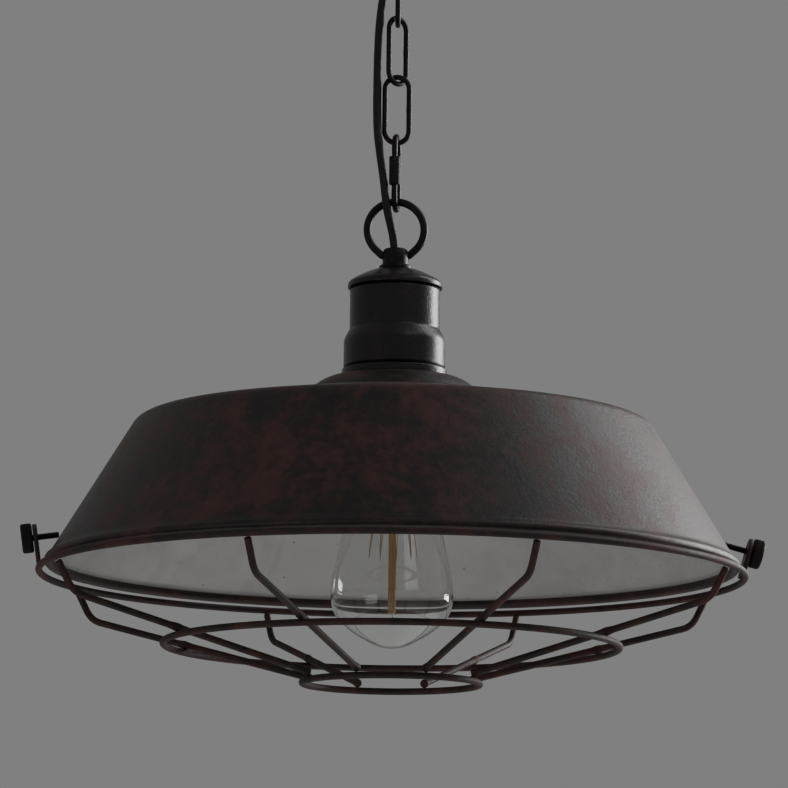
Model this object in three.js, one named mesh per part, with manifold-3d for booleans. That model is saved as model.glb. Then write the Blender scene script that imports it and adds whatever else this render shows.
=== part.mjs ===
// A pendant ceiling light: a ceiling canopy, a short chain with its supply cord, and a wide
// flat-topped steel shade with a wire guard around a pear-shaped filament lamp.
// Millimetres, +Z up. The origin is where the canopy's bracket meets the ceiling.
import * as THREE from "three";
import { mergeVertices } from "three/addons/utils/BufferGeometryUtils.js";
import Module from "manifold-3d";

const wasm = await Module();
wasm.setup();

// ---- Driving dimensions ------------------------------------------------------------------

const GAP = 0.3; // between pieces that touch
const THREAD_GAP = 0.4; // between a thread and what it screws into

// Ceiling fitting
const CANOPY = { radius: 52, height: 28, wall: 1.2, corner: 12, ceilingGap: 0.5 };
const BRACKET = { inset: 4.8, width: 18, thickness: 2.5, screwInset: 9, screwHole: 2.4 };
const STUD = { radius: 2, inset: 8, nutGrip: 5 };
const CAP_NUT = { radius: 5, height: 8 };
const TERMINAL = { length: 26, width: 13, height: 10, offsetY: 24, screws: 3, screwRadius: 1.7 };

// Collar, nipple and lock nut, alike at the ceiling and on the lamp
const COLLAR = { wall: 1.5, flangeWidth: 1.8, flange: 2.2, height: 11, topWall: 1.2 };
const COLLAR_BORE = 3.8;
const COLLAR_SOCKET = 3.2; // how deep the nipple screws in
const PIVOT_HEIGHT = 7.6; // of the ring's pivot above the collar's base
const NIPPLE = { radius: 4.9, bore: 3.4 };
const LOCK_NUT = { radius: 8, height: 3.4 };

// Chain, rings and cord
const RING = { radius: 15, wire: 2, stubDrop: 2.2744, stubStart: 4.5 };
const LINK = { length: 38.5, width: 15.6, wire: 1.4 };
const QUICK_LINK = { length: 42.3, width: 17, wire: 1.55 };
const QUICK_NUT = { wall: 1.25, height: 15, travel: 5, grip: 1.5 };
const LINK_TURNS = [90, 45, 0]; // degrees, from the ceiling down
const QUICK_LINK_TURN = 82;
const TWIST_SLACK = 0.5; // links crossing at 45 degrees touch beside their middles
const CORD_RADIUS = 2.2;

// Lamp body, heights above the guard's top ring
const CAP = {
  rimLip: 1.2,
  rimHeight: 3,
  domeRise: 6.8,
  upperHeight: 22.6,
  shoulder: 5.4,
  flare: 3,
  lowerHeight: 15,
  wall: 1.2,
};
const BASE_RING = { lip: 0.9, height: 4 };
const SHADE = {
  wall: 1.2,
  topHeight: 104.3,
  flatMargin: 1.4, // past the base ring
  bossWidth: 17,
  bossDrop: 9,
  topSlope: 10, // degrees
  rimRadius: 183, // of the cone's line where it meets the guard ring's plane
  coneSlope: 0.608, // radius gained for each unit of height lost
  shoulderDrop: 25, // below the top, of the corner that the fillet rounds off
  shoulderFillet: 8,
};
const BEAD = { inset: 1.8208, height: 4.9, wire: 2.6 }; // inset from the cone's line
const HOLDER = { skirtWall: 4.8, shoulder: 2.4, skirtDrop: 20.3, topDrop: 5.9, wall: 4 };
const HOLDER_GAP = 0.5; // between the lampholder and the cap around it
const HOLDER_SHELL = { threadGap: 0.5, wall: 0.8, height: 26 };
const SHADE_RING = { width: 7, height: 8 };

// Bulb, its drops measured from the tip of its base
const BULB = {
  tipDrop: 11, // below the top of the lampholder's shell
  baseRadius: 13.2,
  baseWall: 0.8,
  baseLength: 24,
  glassWall: 1,
  widestRadius: 32,
  widestDrop: 112,
  length: 139,
};
const FILAMENT = { radius: 2, topDrop: 44, bottomDrop: 121 };

// Wire guard
const GUARD = {
  beadGap: 0.8, // between the top ring and the rolled edge, in plan
  middleRadius: 118.5,
  bottomRadius: 46.1,
  wire: 1.8,
  ribs: 8,
  firstRib: 22.5, // degrees
  ribSlope: 0.268,
  kneeInset: 9.4,
  kneeDrop: 17.7852, // below the top ring
};
const LUGS = [
  { side: "left", azimuth: 184, lean: 8 },
  { side: "right", azimuth: 4, lean: 15 },
];
const LUG = { width: 14, height: 21, thickness: 2.4, holeHeight: 14 };
const THUMB = { shank: 1.7, knobRadius: 7.7, knobLength: 6, boreDepth: 4 };

// ---- Radii that follow -------------------------------------------------------------------

const bracketLength = 2 * (CANOPY.radius - CANOPY.wall - BRACKET.inset);
const studSpacing = bracketLength - 2 * STUD.inset;
const screwSpacing = studSpacing - 2 * BRACKET.screwInset;

const nippleSocket = NIPPLE.radius + THREAD_GAP;
const collarRadius = nippleSocket + COLLAR.wall;
const flangeRadius = collarRadius + COLLAR.flangeWidth;
const quickNutRadius = QUICK_LINK.wire + GAP + QUICK_NUT.wall;

// The ring's arc ends where its stubs bend in, just clear of the collar.
const ringBend = collarRadius + RING.wire * 0.6;
const ringArcEnd = Math.acos((ringBend + 1.6) / RING.radius);
const ringPivotDrop = RING.radius * Math.sin(ringArcEnd) + RING.stubDrop;

// The lampholder is sized by the bulb's base, and the cap and the shade's top by the lampholder.
const shellBore = BULB.baseRadius + HOLDER_SHELL.threadGap;
const shellOuter = shellBore + HOLDER_SHELL.wall;
const holderInside = shellOuter + GAP;
const skirtRadius = holderInside + HOLDER.skirtWall;
const skirtHole = skirtRadius + THREAD_GAP;
const holderRadius = skirtRadius + HOLDER.shoulder;
const capUpperRadius = holderRadius + HOLDER_GAP + CAP.wall;
const capTopRadius = capUpperRadius + CAP.rimLip;
const capLowerRadius = capUpperRadius + CAP.flare;
const baseRingRadius = capLowerRadius + BASE_RING.lip;
const flatRadius = baseRingRadius + SHADE.flatMargin;
const bossRadius = flatRadius + SHADE.bossWidth;
const neckRadius = BULB.baseRadius - BULB.baseWall - THREAD_GAP;

// The guard's top ring hangs just outside the shade's rolled edge.
const coneRadius = (height) => SHADE.rimRadius - SHADE.coneSlope * height;
const beadRadius = coneRadius(BEAD.height) - BEAD.inset;
const guardRadius = beadRadius + BEAD.wire + GUARD.wire + GUARD.beadGap;
const kneeRadius = guardRadius - GUARD.kneeInset;

// ---- Heights that follow, from the ceiling down ------------------------------------------

const ceilingCollarBase = -CANOPY.height - GAP;
const ceilingPivot = ceilingCollarBase - PIVOT_HEIGHT;
const ceilingRingCentre = ceilingPivot - ringPivotDrop;
const ceilingRingWire = ceilingRingCentre - RING.radius;

// Each hanging piece's end wire rests on the one above, so it lies this far over it.
const hook = (upperWire, lowerWire) => upperWire + lowerWire + GAP;

const linkPitch = LINK.length - 2 * LINK.wire - hook(LINK.wire, LINK.wire) - TWIST_SLACK;
const firstLinkTop = ceilingRingWire + hook(RING.wire, LINK.wire);
const lastLinkBottom =
  firstLinkTop - (LINK_TURNS.length - 1) * linkPitch - (LINK.length - 2 * LINK.wire);
const quickLinkTop = lastLinkBottom + hook(LINK.wire, QUICK_LINK.wire);
const quickLinkBottom = quickLinkTop - (QUICK_LINK.length - 2 * QUICK_LINK.wire);
const lampRingWire = quickLinkBottom + hook(QUICK_LINK.wire, RING.wire);
const lampRingCentre = lampRingWire - RING.radius;
const lampPivot = lampRingCentre - ringPivotDrop;

// Heights in the lamp's own frame, whose origin is the middle of the guard's top ring.
const shadeTop = SHADE.topHeight;
const baseRingBottom = shadeTop + GAP;
const capBottom = baseRingBottom + BASE_RING.height + GAP;
const capShoulderBottom = capBottom + CAP.lowerHeight;
const capShoulderTop = capShoulderBottom + CAP.shoulder;
const capTop = capShoulderTop + CAP.upperHeight;
const domeTop = capTop + GAP + CAP.rimHeight + CAP.domeRise;
const lampCollarBase = domeTop + GAP;
const skirtBottom = shadeTop - HOLDER.skirtDrop;
const holderTop = capTop - HOLDER.topDrop;
const shellBottom = skirtBottom + 2;
const shellTop = shellBottom + HOLDER_SHELL.height;
const bulbTip = shellTop - BULB.tipDrop;
const lampHeight = lampPivot - (lampCollarBase + PIVOT_HEIGHT);

// ---- Geometry helpers --------------------------------------------------------------------

const radians = THREE.MathUtils.degToRad;
const point = (x, y) => new THREE.Vector2(x, y);
const space = (x, y, z) => new THREE.Vector3(x, y, z);

// A solid of revolution about Z from [radius, height] pairs, which start and end on the axis
// or close on themselves.
function revolve(outline, segments = 32) {
  const profile = outline.map(([r, z]) => point(r, z));
  if (THREE.ShapeUtils.area(profile) < 0) profile.reverse();
  if (profile[0].x > 0) profile.push(profile[0].clone());
  return new THREE.LatheGeometry(profile, segments).rotateX(Math.PI / 2);
}

// A plain ring of rectangular section.
function washer(inner, outer, bottom, top, segments = 32) {
  return revolve([[inner, bottom], [outer, bottom], [outer, top], [inner, top]], segments);
}

function cylinder(radius, bottom, top, segments = 24) {
  return revolve([[0, bottom], [radius, bottom], [radius, top], [0, top]], segments);
}

// The [radius, height] points of a circle of wire.
function circleOutline(centreRadius, centreHeight, wire, sides = 6) {
  return Array.from({ length: sides }, (_, i) => {
    const turn = ((i + 0.5) / sides) * 2 * Math.PI;
    const flat = wire / Math.cos(Math.PI / sides);
    return [centreRadius + flat * Math.cos(turn), centreHeight + flat * Math.sin(turn)];
  });
}

function wireRing(radius, height, wire, segments = 40) {
  return revolve(circleOutline(radius, height, wire), segments);
}

function circleShape(radius, sides) {
  const corners = Array.from({ length: sides }, (_, i) =>
    point(radius * Math.cos((i / sides) * 2 * Math.PI), radius * Math.sin((i / sides) * 2 * Math.PI)),
  );
  return new THREE.Shape(corners);
}

// A path through given points that is sampled at those points and nowhere between them.
class BentLine extends THREE.Curve {
  constructor(points) {
    super();
    this.points = points;
  }

  getPoint(t, target = space(0, 0, 0)) {
    const last = this.points.length - 1;
    const place = THREE.MathUtils.clamp(t, 0, 1) * last;
    const from = Math.min(Math.floor(place), last - 1);
    return target.lerpVectors(this.points[from], this.points[from + 1], place - from);
  }

  getUtoTmapping(u) {
    return u;
  }
}

// A round tube with closed ends along a curve.
function tube(curve, radius, steps, sides = 8) {
  return new THREE.ExtrudeGeometry(circleShape(radius, sides), { steps, extrudePath: curve });
}

// A prism along Z of a flat shape.
function slab(shape, bottom, top, curveSegments = 8) {
  const options = { depth: top - bottom, bevelEnabled: false, curveSegments };
  return new THREE.ExtrudeGeometry(shape, options).translate(0, 0, bottom);
}

function hexagon(radius) {
  return circleShape(radius, 6);
}

// A rectangle with round ends, and round holes at the given points.
function strap(length, width, holes) {
  const shape = new THREE.Shape();
  const straight = (length - width) / 2;
  shape.absarc(straight, 0, width / 2, -Math.PI / 2, Math.PI / 2);
  shape.absarc(-straight, 0, width / 2, Math.PI / 2, 1.5 * Math.PI);
  for (const { x, y, radius } of holes) {
    shape.holes.push(new THREE.Path().absarc(x, y, radius, 0, 2 * Math.PI, true));
  }
  return shape;
}

function toSolid(geometry) {
  const bare = geometry.index ? geometry.toNonIndexed() : geometry.clone();
  bare.deleteAttribute("normal");
  bare.deleteAttribute("uv");
  const merged = mergeVertices(bare, 1e-4);
  return new wasm.Manifold(
    new wasm.Mesh({
      numProp: 3,
      vertProperties: merged.attributes.position.array,
      triVerts: new Uint32Array(merged.index.array),
    }),
  );
}

function toGeometry(solid) {
  const { vertProperties, triVerts } = solid.getMesh();
  const geometry = new THREE.BufferGeometry();
  geometry.setAttribute("position", new THREE.BufferAttribute(vertProperties, 3));
  geometry.setIndex(new THREE.BufferAttribute(triVerts, 1));
  geometry.computeVertexNormals();
  return geometry;
}

function cut(body, ...tools) {
  return toGeometry(tools.reduce((left, tool) => left.subtract(toSolid(tool)), toSolid(body)));
}

function join(body, ...others) {
  return toGeometry(others.reduce((sum, other) => sum.add(toSolid(other)), toSolid(body)));
}

// The same line moved sideways by a distance, to the right of its direction, with mitred corners.
function offsetLine(line, distance) {
  const normals = line.slice(1).map(([r, z], i) => {
    const along = point(r - line[i][0], z - line[i][1]).normalize();
    return point(along.y, -along.x);
  });
  return line.map(([r, z], i) => {
    const before = normals[Math.max(i - 1, 0)];
    const after = normals[Math.min(i, normals.length - 1)];
    const middle = before.clone().add(after).normalize();
    const reach = distance / middle.dot(before);
    return [r + reach * middle.x, z + reach * middle.y];
  });
}

// A sheet of even thickness: the outer line, and back along its offset.
function sheet(line, wall, segments) {
  return revolve([...line, ...offsetLine(line, wall).reverse()], segments);
}

// ---- Materials ---------------------------------------------------------------------------

const finish = (color, roughness, metalness) => ({ color, roughness, metalness });
const RUST_BROWN = finish(0x2b2223, 0.55, 0.6);
const BLACK_STEEL = finish(0x161415, 0.5, 0.7);
const CORD_BLACK = finish(0x0c0c0d, 0.7, 0);
const ZINC = finish(0x9b9c9e, 0.4, 0.9);
const BRASS = finish(0xb48a4a, 0.35, 0.9);
const BAKELITE = finish(0x1a1513, 0.45, 0);
const PORCELAIN = finish(0xe6e3dc, 0.3, 0);
const NYLON = finish(0xd8d6cf, 0.5, 0);
const ALUMINIUM = finish(0xb9b7b2, 0.35, 0.9);
const BLACK_GLASS = finish(0x101012, 0.2, 0);
const GLASS = { ...finish(0xdfe4e2, 0.05, 0), transparent: true, opacity: 0.35 };
const AMBER = finish(0xc98a2e, 0.4, 0.3);

const pendant = new THREE.Group();
const lamp = new THREE.Group();
lamp.position.z = lampHeight;
pendant.add(lamp);

function piece(parent, name, geometry, material) {
  const mesh = new THREE.Mesh(geometry, new THREE.MeshStandardMaterial(material));
  mesh.name = name;
  parent.add(mesh);
  return mesh;
}

// ---- Ceiling fitting ---------------------------------------------------------------------

function canopy() {
  const { radius, height, wall, corner, ceilingGap } = CANOPY;
  const middle = [radius - corner, -height + corner];
  const line = [[radius, -ceilingGap], [radius, middle[1]]];
  for (const degrees of [22.5, 45, 67.5]) {
    const turn = radians(degrees);
    line.push([middle[0] + corner * Math.cos(turn), middle[1] - corner * Math.sin(turn)]);
  }
  line.push([middle[0], -height], [NIPPLE.radius + GAP, -height]);
  const dish = sheet(line, wall, 28);
  const holes = [-1, 1].map((side) =>
    cylinder(STUD.radius + GAP, -height - wall, -height + 2 * wall, 12).translate(
      (side * studSpacing) / 2,
      0,
      0,
    ),
  );
  return cut(dish, ...holes);
}

function bracket() {
  const holes = [-1, 1].flatMap((side) => [
    { x: (side * studSpacing) / 2, y: 0, radius: STUD.radius + GAP },
    { x: (side * screwSpacing) / 2, y: 0, radius: BRACKET.screwHole },
  ]);
  const shape = strap(bracketLength, BRACKET.width, holes);
  return slab(shape, -BRACKET.thickness, 0);
}

// The knurled cap nut that holds the canopy up on its stud.
function capNut(bottom, top, boreTop) {
  const bore = STUD.radius + THREAD_GAP;
  const { radius } = CAP_NUT;
  return revolve(
    [
      [0, bottom],
      [radius * 0.7, bottom],
      [radius, bottom + 2],
      [radius, top],
      [bore, top],
      [bore, boreTop],
      [0, boreTop],
    ],
    20,
  );
}

piece(pendant, "ceiling_canopy", canopy(), RUST_BROWN);
piece(pendant, "mounting_bracket", bracket(), ZINC);

const nutTop = -CANOPY.height - GAP;
const nutBottom = nutTop - CAP_NUT.height;
const studBottom = nutTop - STUD.nutGrip;
for (const [side, name] of [[-1, "left"], [1, "right"]]) {
  const x = (side * studSpacing) / 2;
  const stud = join(
    cylinder(STUD.radius, studBottom, -GAP, 16),
    slab(hexagon(STUD.radius * 2), -BRACKET.thickness - GAP - 3, -BRACKET.thickness - GAP),
  );
  piece(pendant, "canopy_stud_" + name, stud, ZINC).position.x = x;
  const nut = capNut(nutBottom, nutTop, studBottom - GAP);
  piece(pendant, "canopy_nut_" + name, nut, RUST_BROWN).position.x = x;
}

// The strip of terminals that joins the lamp's cord to the wires in the ceiling.
const terminalTop = -BRACKET.thickness - GAP;
const terminalBottom = terminalTop - TERMINAL.height;
const terminalPitch = TERMINAL.length / TERMINAL.screws;
const terminalPlaces = Array.from(
  { length: TERMINAL.screws },
  (_, i) => (i - (TERMINAL.screws - 1) / 2) * terminalPitch,
);
const terminalScrewDepth = TERMINAL.height * 0.6;
function terminalBlock() {
  const { length, width, height, screwRadius } = TERMINAL;
  const body = new THREE.BoxGeometry(length, width, height).translate(
    0,
    0,
    terminalBottom + height / 2,
  );
  const wells = terminalPlaces.map((x) =>
    cylinder(
      screwRadius + THREAD_GAP,
      terminalBottom - 1,
      terminalBottom + terminalScrewDepth,
      12,
    ).translate(x, 0, 0),
  );
  const wireWays = terminalPlaces.map((x) =>
    new THREE.BoxGeometry(3, width + 2, 2.4).translate(x, 0, terminalTop - 2.4),
  );
  return cut(body, ...wells, ...wireWays);
}
const terminals = new THREE.Group();
terminals.position.y = TERMINAL.offsetY;
pendant.add(terminals);
piece(terminals, "terminal_block", terminalBlock(), NYLON);
terminalPlaces.forEach((x, i) => {
  const top = terminalBottom + terminalScrewDepth - GAP;
  const screw = cylinder(TERMINAL.screwRadius, terminalBottom + 1, top, 12);
  piece(terminals, "terminal_screw_" + (i + 1), screw, BRASS).position.x = x;
});

// ---- Collars, nipples and rings ----------------------------------------------------------

// The turned collar that a ring's two stub ends pivot in, with its base at 0 and its top up.
function collar() {
  const { flange, height, topWall } = COLLAR;
  const outline = [
    [nippleSocket, 0],
    [flangeRadius, 0],
    [flangeRadius, flange - 0.7],
    [flangeRadius - 0.7, flange],
    [collarRadius, flange],
    [collarRadius, height - 2.4],
    [collarRadius - 0.6, height - 1],
    [COLLAR_BORE + topWall, height],
    [COLLAR_BORE, height],
    [COLLAR_BORE, COLLAR_SOCKET],
    [nippleSocket, COLLAR_SOCKET],
  ];
  const crossHoles = [-1, 1].map((side) =>
    cylinder(RING.wire + GAP, 0, collarRadius * 2, 12)
      .rotateY((side * Math.PI) / 2)
      .translate(side * (RING.stubStart - GAP), 0, PIVOT_HEIGHT),
  );
  return cut(revolve(outline, 20), ...crossHoles);
}

// An open ring with its middle at the origin and its stubs at the bottom, in the XZ plane.
function openRing() {
  const { radius, wire, stubStart } = RING;
  const drop = -ringPivotDrop;
  const route = [space(stubStart, 0, drop), space(ringBend - 1, 0, drop)];
  const steps = 20;
  for (let i = 0; i <= steps; i += 1) {
    const turn = -ringArcEnd + ((Math.PI + 2 * ringArcEnd) * i) / steps;
    route.push(space(radius * Math.cos(turn), 0, radius * Math.sin(turn)));
  }
  route.push(space(1 - ringBend, 0, drop), space(-stubStart, 0, drop));
  return tube(new THREE.CatmullRomCurve3(route), wire, 26, 8);
}

function nipple(bottom, top) {
  return washer(NIPPLE.bore, NIPPLE.radius, bottom, top, 20);
}

function lockNut(bottom) {
  const body = slab(hexagon(LOCK_NUT.radius), bottom, bottom + LOCK_NUT.height);
  const reach = LOCK_NUT.height + 2;
  return cut(body, cylinder(nippleSocket, bottom - 1, bottom + reach, 20));
}

// At the ceiling the collar, nipple and ring hang upside down from the canopy's flat bottom.
const canopyInside = -CANOPY.height + CANOPY.wall;
const ceilingCollar = piece(pendant, "ceiling_collar", collar(), BLACK_STEEL);
ceilingCollar.position.z = ceilingCollarBase;
ceilingCollar.rotation.x = Math.PI;
const ceilingNutBottom = canopyInside + GAP;
const ceilingNippleTop = ceilingNutBottom + LOCK_NUT.height + 3;
const ceilingNippleBottom = ceilingCollarBase - COLLAR_SOCKET + GAP;
piece(pendant, "ceiling_nipple", nipple(ceilingNippleBottom, ceilingNippleTop), ZINC);
piece(pendant, "ceiling_lock_nut", lockNut(ceilingNutBottom), ZINC);
const ceilingRing = piece(pendant, "ceiling_ring", openRing(), BLACK_STEEL);
ceilingRing.position.z = ceilingRingCentre;
ceilingRing.rotation.x = Math.PI;

const lampRing = piece(pendant, "lamp_ring", openRing(), BLACK_STEEL);
lampRing.position.z = lampRingCentre;

// ---- Chain -------------------------------------------------------------------------------

// The middle line of a long link in the XZ plane, its top end wire at 0.
class LinkLine extends THREE.Curve {
  constructor(length, width, wire) {
    super();
    this.bend = width / 2 - wire;
    this.side = length - 2 * wire - 2 * this.bend;
  }

  getPoint(t, target = space(0, 0, 0)) {
    const arc = Math.PI * this.bend;
    const lap = 2 * (arc + this.side);
    const along = (((t % 1) + 1) % 1) * lap;
    const top = -this.bend;
    const bottom = top - this.side;
    if (along < arc) {
      const turn = along / this.bend;
      return target.set(this.bend * Math.cos(turn), 0, top + this.bend * Math.sin(turn));
    }
    if (along < arc + this.side) return target.set(-this.bend, 0, top - (along - arc));
    if (along < 2 * arc + this.side) {
      const turn = Math.PI + (along - arc - this.side) / this.bend;
      return target.set(this.bend * Math.cos(turn), 0, bottom + this.bend * Math.sin(turn));
    }
    return target.set(this.bend, 0, bottom + (along - 2 * arc - this.side));
  }
}

// A closed loop of wire needs no end caps, so it is a closed TubeGeometry.
function loop(line, wire, steps = 24) {
  return new THREE.TubeGeometry(line, steps, wire, 6, true);
}

LINK_TURNS.forEach((turn, i) => {
  const line = new LinkLine(LINK.length, LINK.width, LINK.wire);
  const link = piece(pendant, "chain_link_" + (i + 1), loop(line, LINK.wire), BLACK_STEEL);
  link.position.z = firstLinkTop - i * linkPitch;
  link.rotation.z = radians(turn);
});

// The screw link: a loop with a gap in one side. The long nut closes the gap, and bares it
// again when it is run down by its travel.
const nutSide = -(QUICK_LINK.width / 2 - QUICK_LINK.wire);
const quickMiddle = -(QUICK_LINK.length / 2 - QUICK_LINK.wire);
const quickNutBottom = quickMiddle - QUICK_NUT.height / 2;
const quickNutTop = quickNutBottom + QUICK_NUT.height;
function quickLink() {
  const line = new LinkLine(QUICK_LINK.length, QUICK_LINK.width, QUICK_LINK.wire);
  const across = 4 * QUICK_LINK.wire;
  const tall = QUICK_NUT.travel - QUICK_NUT.grip;
  const opening = new THREE.BoxGeometry(across, across, tall);
  const middle = quickNutTop - QUICK_NUT.grip - tall / 2;
  return cut(loop(line, QUICK_LINK.wire, 24), opening.translate(nutSide, 0, middle));
}
function quickNut() {
  const body = slab(hexagon(quickNutRadius), quickNutBottom, quickNutTop);
  const bore = cylinder(QUICK_LINK.wire + GAP, quickNutBottom - 1, quickNutTop + 1, 16);
  return cut(body, bore).translate(nutSide, 0, 0);
}
const quick = new THREE.Group();
quick.position.z = quickLinkTop;
quick.rotation.z = radians(QUICK_LINK_TURN);
pendant.add(quick);
piece(quick, "quick_link", quickLink(), BLACK_STEEL);
piece(quick, "quick_link_nut", quickNut(), BLACK_STEEL);

// ---- Supply cord -------------------------------------------------------------------------

// The route, chosen by hand, from the lamp's collar up to the ceiling's.
const CORD_ROUTE = [
  [0, 0, -227.0],
  [0, -0.1, -222.5],
  [-0.6, -0.6, -217.0],
  [-1.6, -2.2, -210.5],
  [-3.2, -4.2, -204.0],
  [-4.7, -5.3, -197.5],
  [-5.6, -5.3, -190.5],
  [-6.7, -4.4, -181.0],
  [-8.4, -3.0, -169.0],
  [-10.0, -1.6, -156.0],
  [-10.5, -0.6, -142.0],
  [-10.5, 0.0, -127.0],
  [-10.3, 0.0, -112.0],
  [-9.7, -0.8, -98.0],
  [-8.2, -2.8, -84.5],
  [-6.3, -4.6, -74.5],
  [-4.9, -5.3, -67.0],
  [-3.5, -4.6, -60.0],
  [-1.8, -2.6, -53.0],
  [-0.6, -0.8, -46.0],
  [0, -0.1, -40.5],
  [0, 0, -36.0],
];
const cordLine = new THREE.CatmullRomCurve3(CORD_ROUTE.map(([x, y, z]) => space(x, y, z)));
piece(pendant, "supply_cord", tube(cordLine, CORD_RADIUS, 30, 8), CORD_BLACK);

// ---- Lamp: collar, cap and lampholder ----------------------------------------------------

const lampCollar = piece(lamp, "lamp_collar", collar(), BLACK_STEEL);
lampCollar.position.z = lampCollarBase;

function capDome() {
  const { rimHeight, domeRise, wall } = CAP;
  const rim = capTop + GAP;
  const shoulder = rim + rimHeight;
  const line = [
    [NIPPLE.radius + GAP, domeTop],
    [flangeRadius + 2, domeTop - 0.2],
    [capTopRadius * 0.72, shoulder + domeRise * 0.6],
    [capTopRadius - 1.5, shoulder + 0.9],
    [capTopRadius, shoulder - 0.6],
    [capTopRadius, rim],
  ];
  return sheet(line, wall, 28);
}
piece(lamp, "cap_dome", capDome(), RUST_BROWN);

function capSleeve() {
  const line = [
    [capUpperRadius, capTop],
    [capUpperRadius, capShoulderTop],
    [capUpperRadius + 1.2, capShoulderTop - 0.9],
    [capLowerRadius, capShoulderBottom],
    [capLowerRadius, capBottom],
  ];
  return sheet(line, CAP.wall, 28);
}
piece(lamp, "cap_sleeve", capSleeve(), RUST_BROWN);

const baseRing = washer(
  skirtHole,
  baseRingRadius,
  baseRingBottom,
  baseRingBottom + BASE_RING.height,
  28,
);
piece(lamp, "cap_base_ring", baseRing, RUST_BROWN);

const nippleBottom = holderTop - HOLDER.wall + 0.5;
const nippleTop = lampCollarBase + COLLAR_SOCKET - GAP;
piece(lamp, "lamp_nipple", nipple(nippleBottom, nippleTop), ZINC);
const lampNutBottom = domeTop - CAP.wall - 1 - LOCK_NUT.height;
piece(lamp, "lamp_lock_nut", lockNut(lampNutBottom), ZINC);

// The lampholder's insulating body clamps the base ring and the shade with the ring below.
const holderShoulder = baseRingBottom + BASE_RING.height + GAP;
function holderBody() {
  const ceiling = holderTop - HOLDER.wall;
  return revolve(
    [
      [holderInside, skirtBottom],
      [skirtRadius, skirtBottom],
      [skirtRadius, holderShoulder],
      [holderRadius, holderShoulder],
      [holderRadius, holderTop - 6],
      [holderRadius - 6, holderTop],
      [nippleSocket, holderTop],
      [nippleSocket, ceiling],
      [holderInside, ceiling],
    ],
    24,
  );
}
piece(lamp, "lampholder_body", holderBody(), BAKELITE);

const holderShell = washer(shellBore, shellOuter, shellBottom, shellTop, 28);
piece(lamp, "lampholder_shell", holderShell, BRASS);

// The porcelain floor over the shell, and the sprung tongue that the bulb's tip presses.
const floorBottom = shellTop + GAP;
const floorTop = floorBottom + 5;
piece(lamp, "lampholder_insert", cylinder(shellOuter, floorBottom, floorTop, 28), PORCELAIN);
const tongueBottom = bulbTip + GAP;
const tongue = cylinder(3.4, tongueBottom, floorBottom - GAP, 16);
piece(lamp, "lampholder_contact", tongue, BRASS);

const shadeRing = washer(
  skirtHole,
  skirtHole + SHADE_RING.width,
  shadeTop - SHADE.wall - GAP - SHADE_RING.height,
  shadeTop - SHADE.wall - GAP,
  28,
);
piece(lamp, "shade_retaining_ring", shadeRing, BAKELITE);

// ---- Shade -------------------------------------------------------------------------------

function shadeLine() {
  const { bossDrop, topSlope, shoulderDrop, shoulderFillet } = SHADE;
  const slope = radians(topSlope);
  const bossBottom = shadeTop - bossDrop;
  const line = [[skirtHole, shadeTop], [flatRadius, shadeTop - 0.1]];
  for (const share of [0.35, 0.7]) {
    const radius = flatRadius + SHADE.bossWidth * share;
    line.push([radius, shadeTop - bossDrop * share * share * 0.95]);
  }
  line.push([bossRadius, bossBottom]);

  // The fillet touches the sloping top and the cone.
  const coneTurn = Math.atan2(1, SHADE.coneSlope);
  const shoulderHeight = shadeTop - shoulderDrop;
  const corner = [coneRadius(shoulderHeight), shoulderHeight];
  const reach = shoulderFillet * Math.tan((coneTurn - slope) / 2);
  const start = [corner[0] - reach * Math.cos(slope), corner[1] + reach * Math.sin(slope)];
  const centre = [
    start[0] - shoulderFillet * Math.sin(slope),
    start[1] - shoulderFillet * Math.cos(slope),
  ];
  const steps = 3;
  for (let i = 0; i <= steps; i += 1) {
    const turn = slope + ((coneTurn - slope) * i) / steps;
    line.push([
      centre[0] + shoulderFillet * Math.sin(turn),
      centre[1] + shoulderFillet * Math.cos(turn),
    ]);
  }
  const end = BEAD.height + BEAD.wire * 0.4;
  line.push([coneRadius(end), end]);
  return line;
}

function shade() {
  const line = shadeLine();
  const outline = [...line, ...offsetLine(line, SHADE.wall).reverse()];
  const rolled = wireRing(beadRadius, BEAD.height, BEAD.wire);
  return join(revolve(outline, 40), rolled);
}
piece(lamp, "shade", shade(), RUST_BROWN);

// ---- Bulb --------------------------------------------------------------------------------

const tipBottom = bulbTip - 1.6;
const baseTop = tipBottom - 1.8;
const baseBottom = baseTop - BULB.baseLength;
piece(lamp, "bulb_tip", cylinder(4.4, tipBottom + GAP, bulbTip, 20), BRASS);
const insulator = revolve(
  [[0, baseTop + GAP], [BULB.baseRadius - 2.5, baseTop + GAP], [5, tipBottom], [0, tipBottom]],
  24,
);
piece(lamp, "bulb_insulator", insulator, BLACK_GLASS);
const baseInside = BULB.baseRadius - BULB.baseWall;
const base = revolve(
  [
    [baseInside, baseBottom],
    [BULB.baseRadius, baseBottom],
    [BULB.baseRadius, baseTop - 3],
    [BULB.baseRadius - 2.8, baseTop],
    [BULB.baseRadius - 4.2, baseTop],
    [baseInside, baseTop - 3.4],
  ],
  28,
);
piece(lamp, "bulb_base", base, ALUMINIUM);

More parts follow.
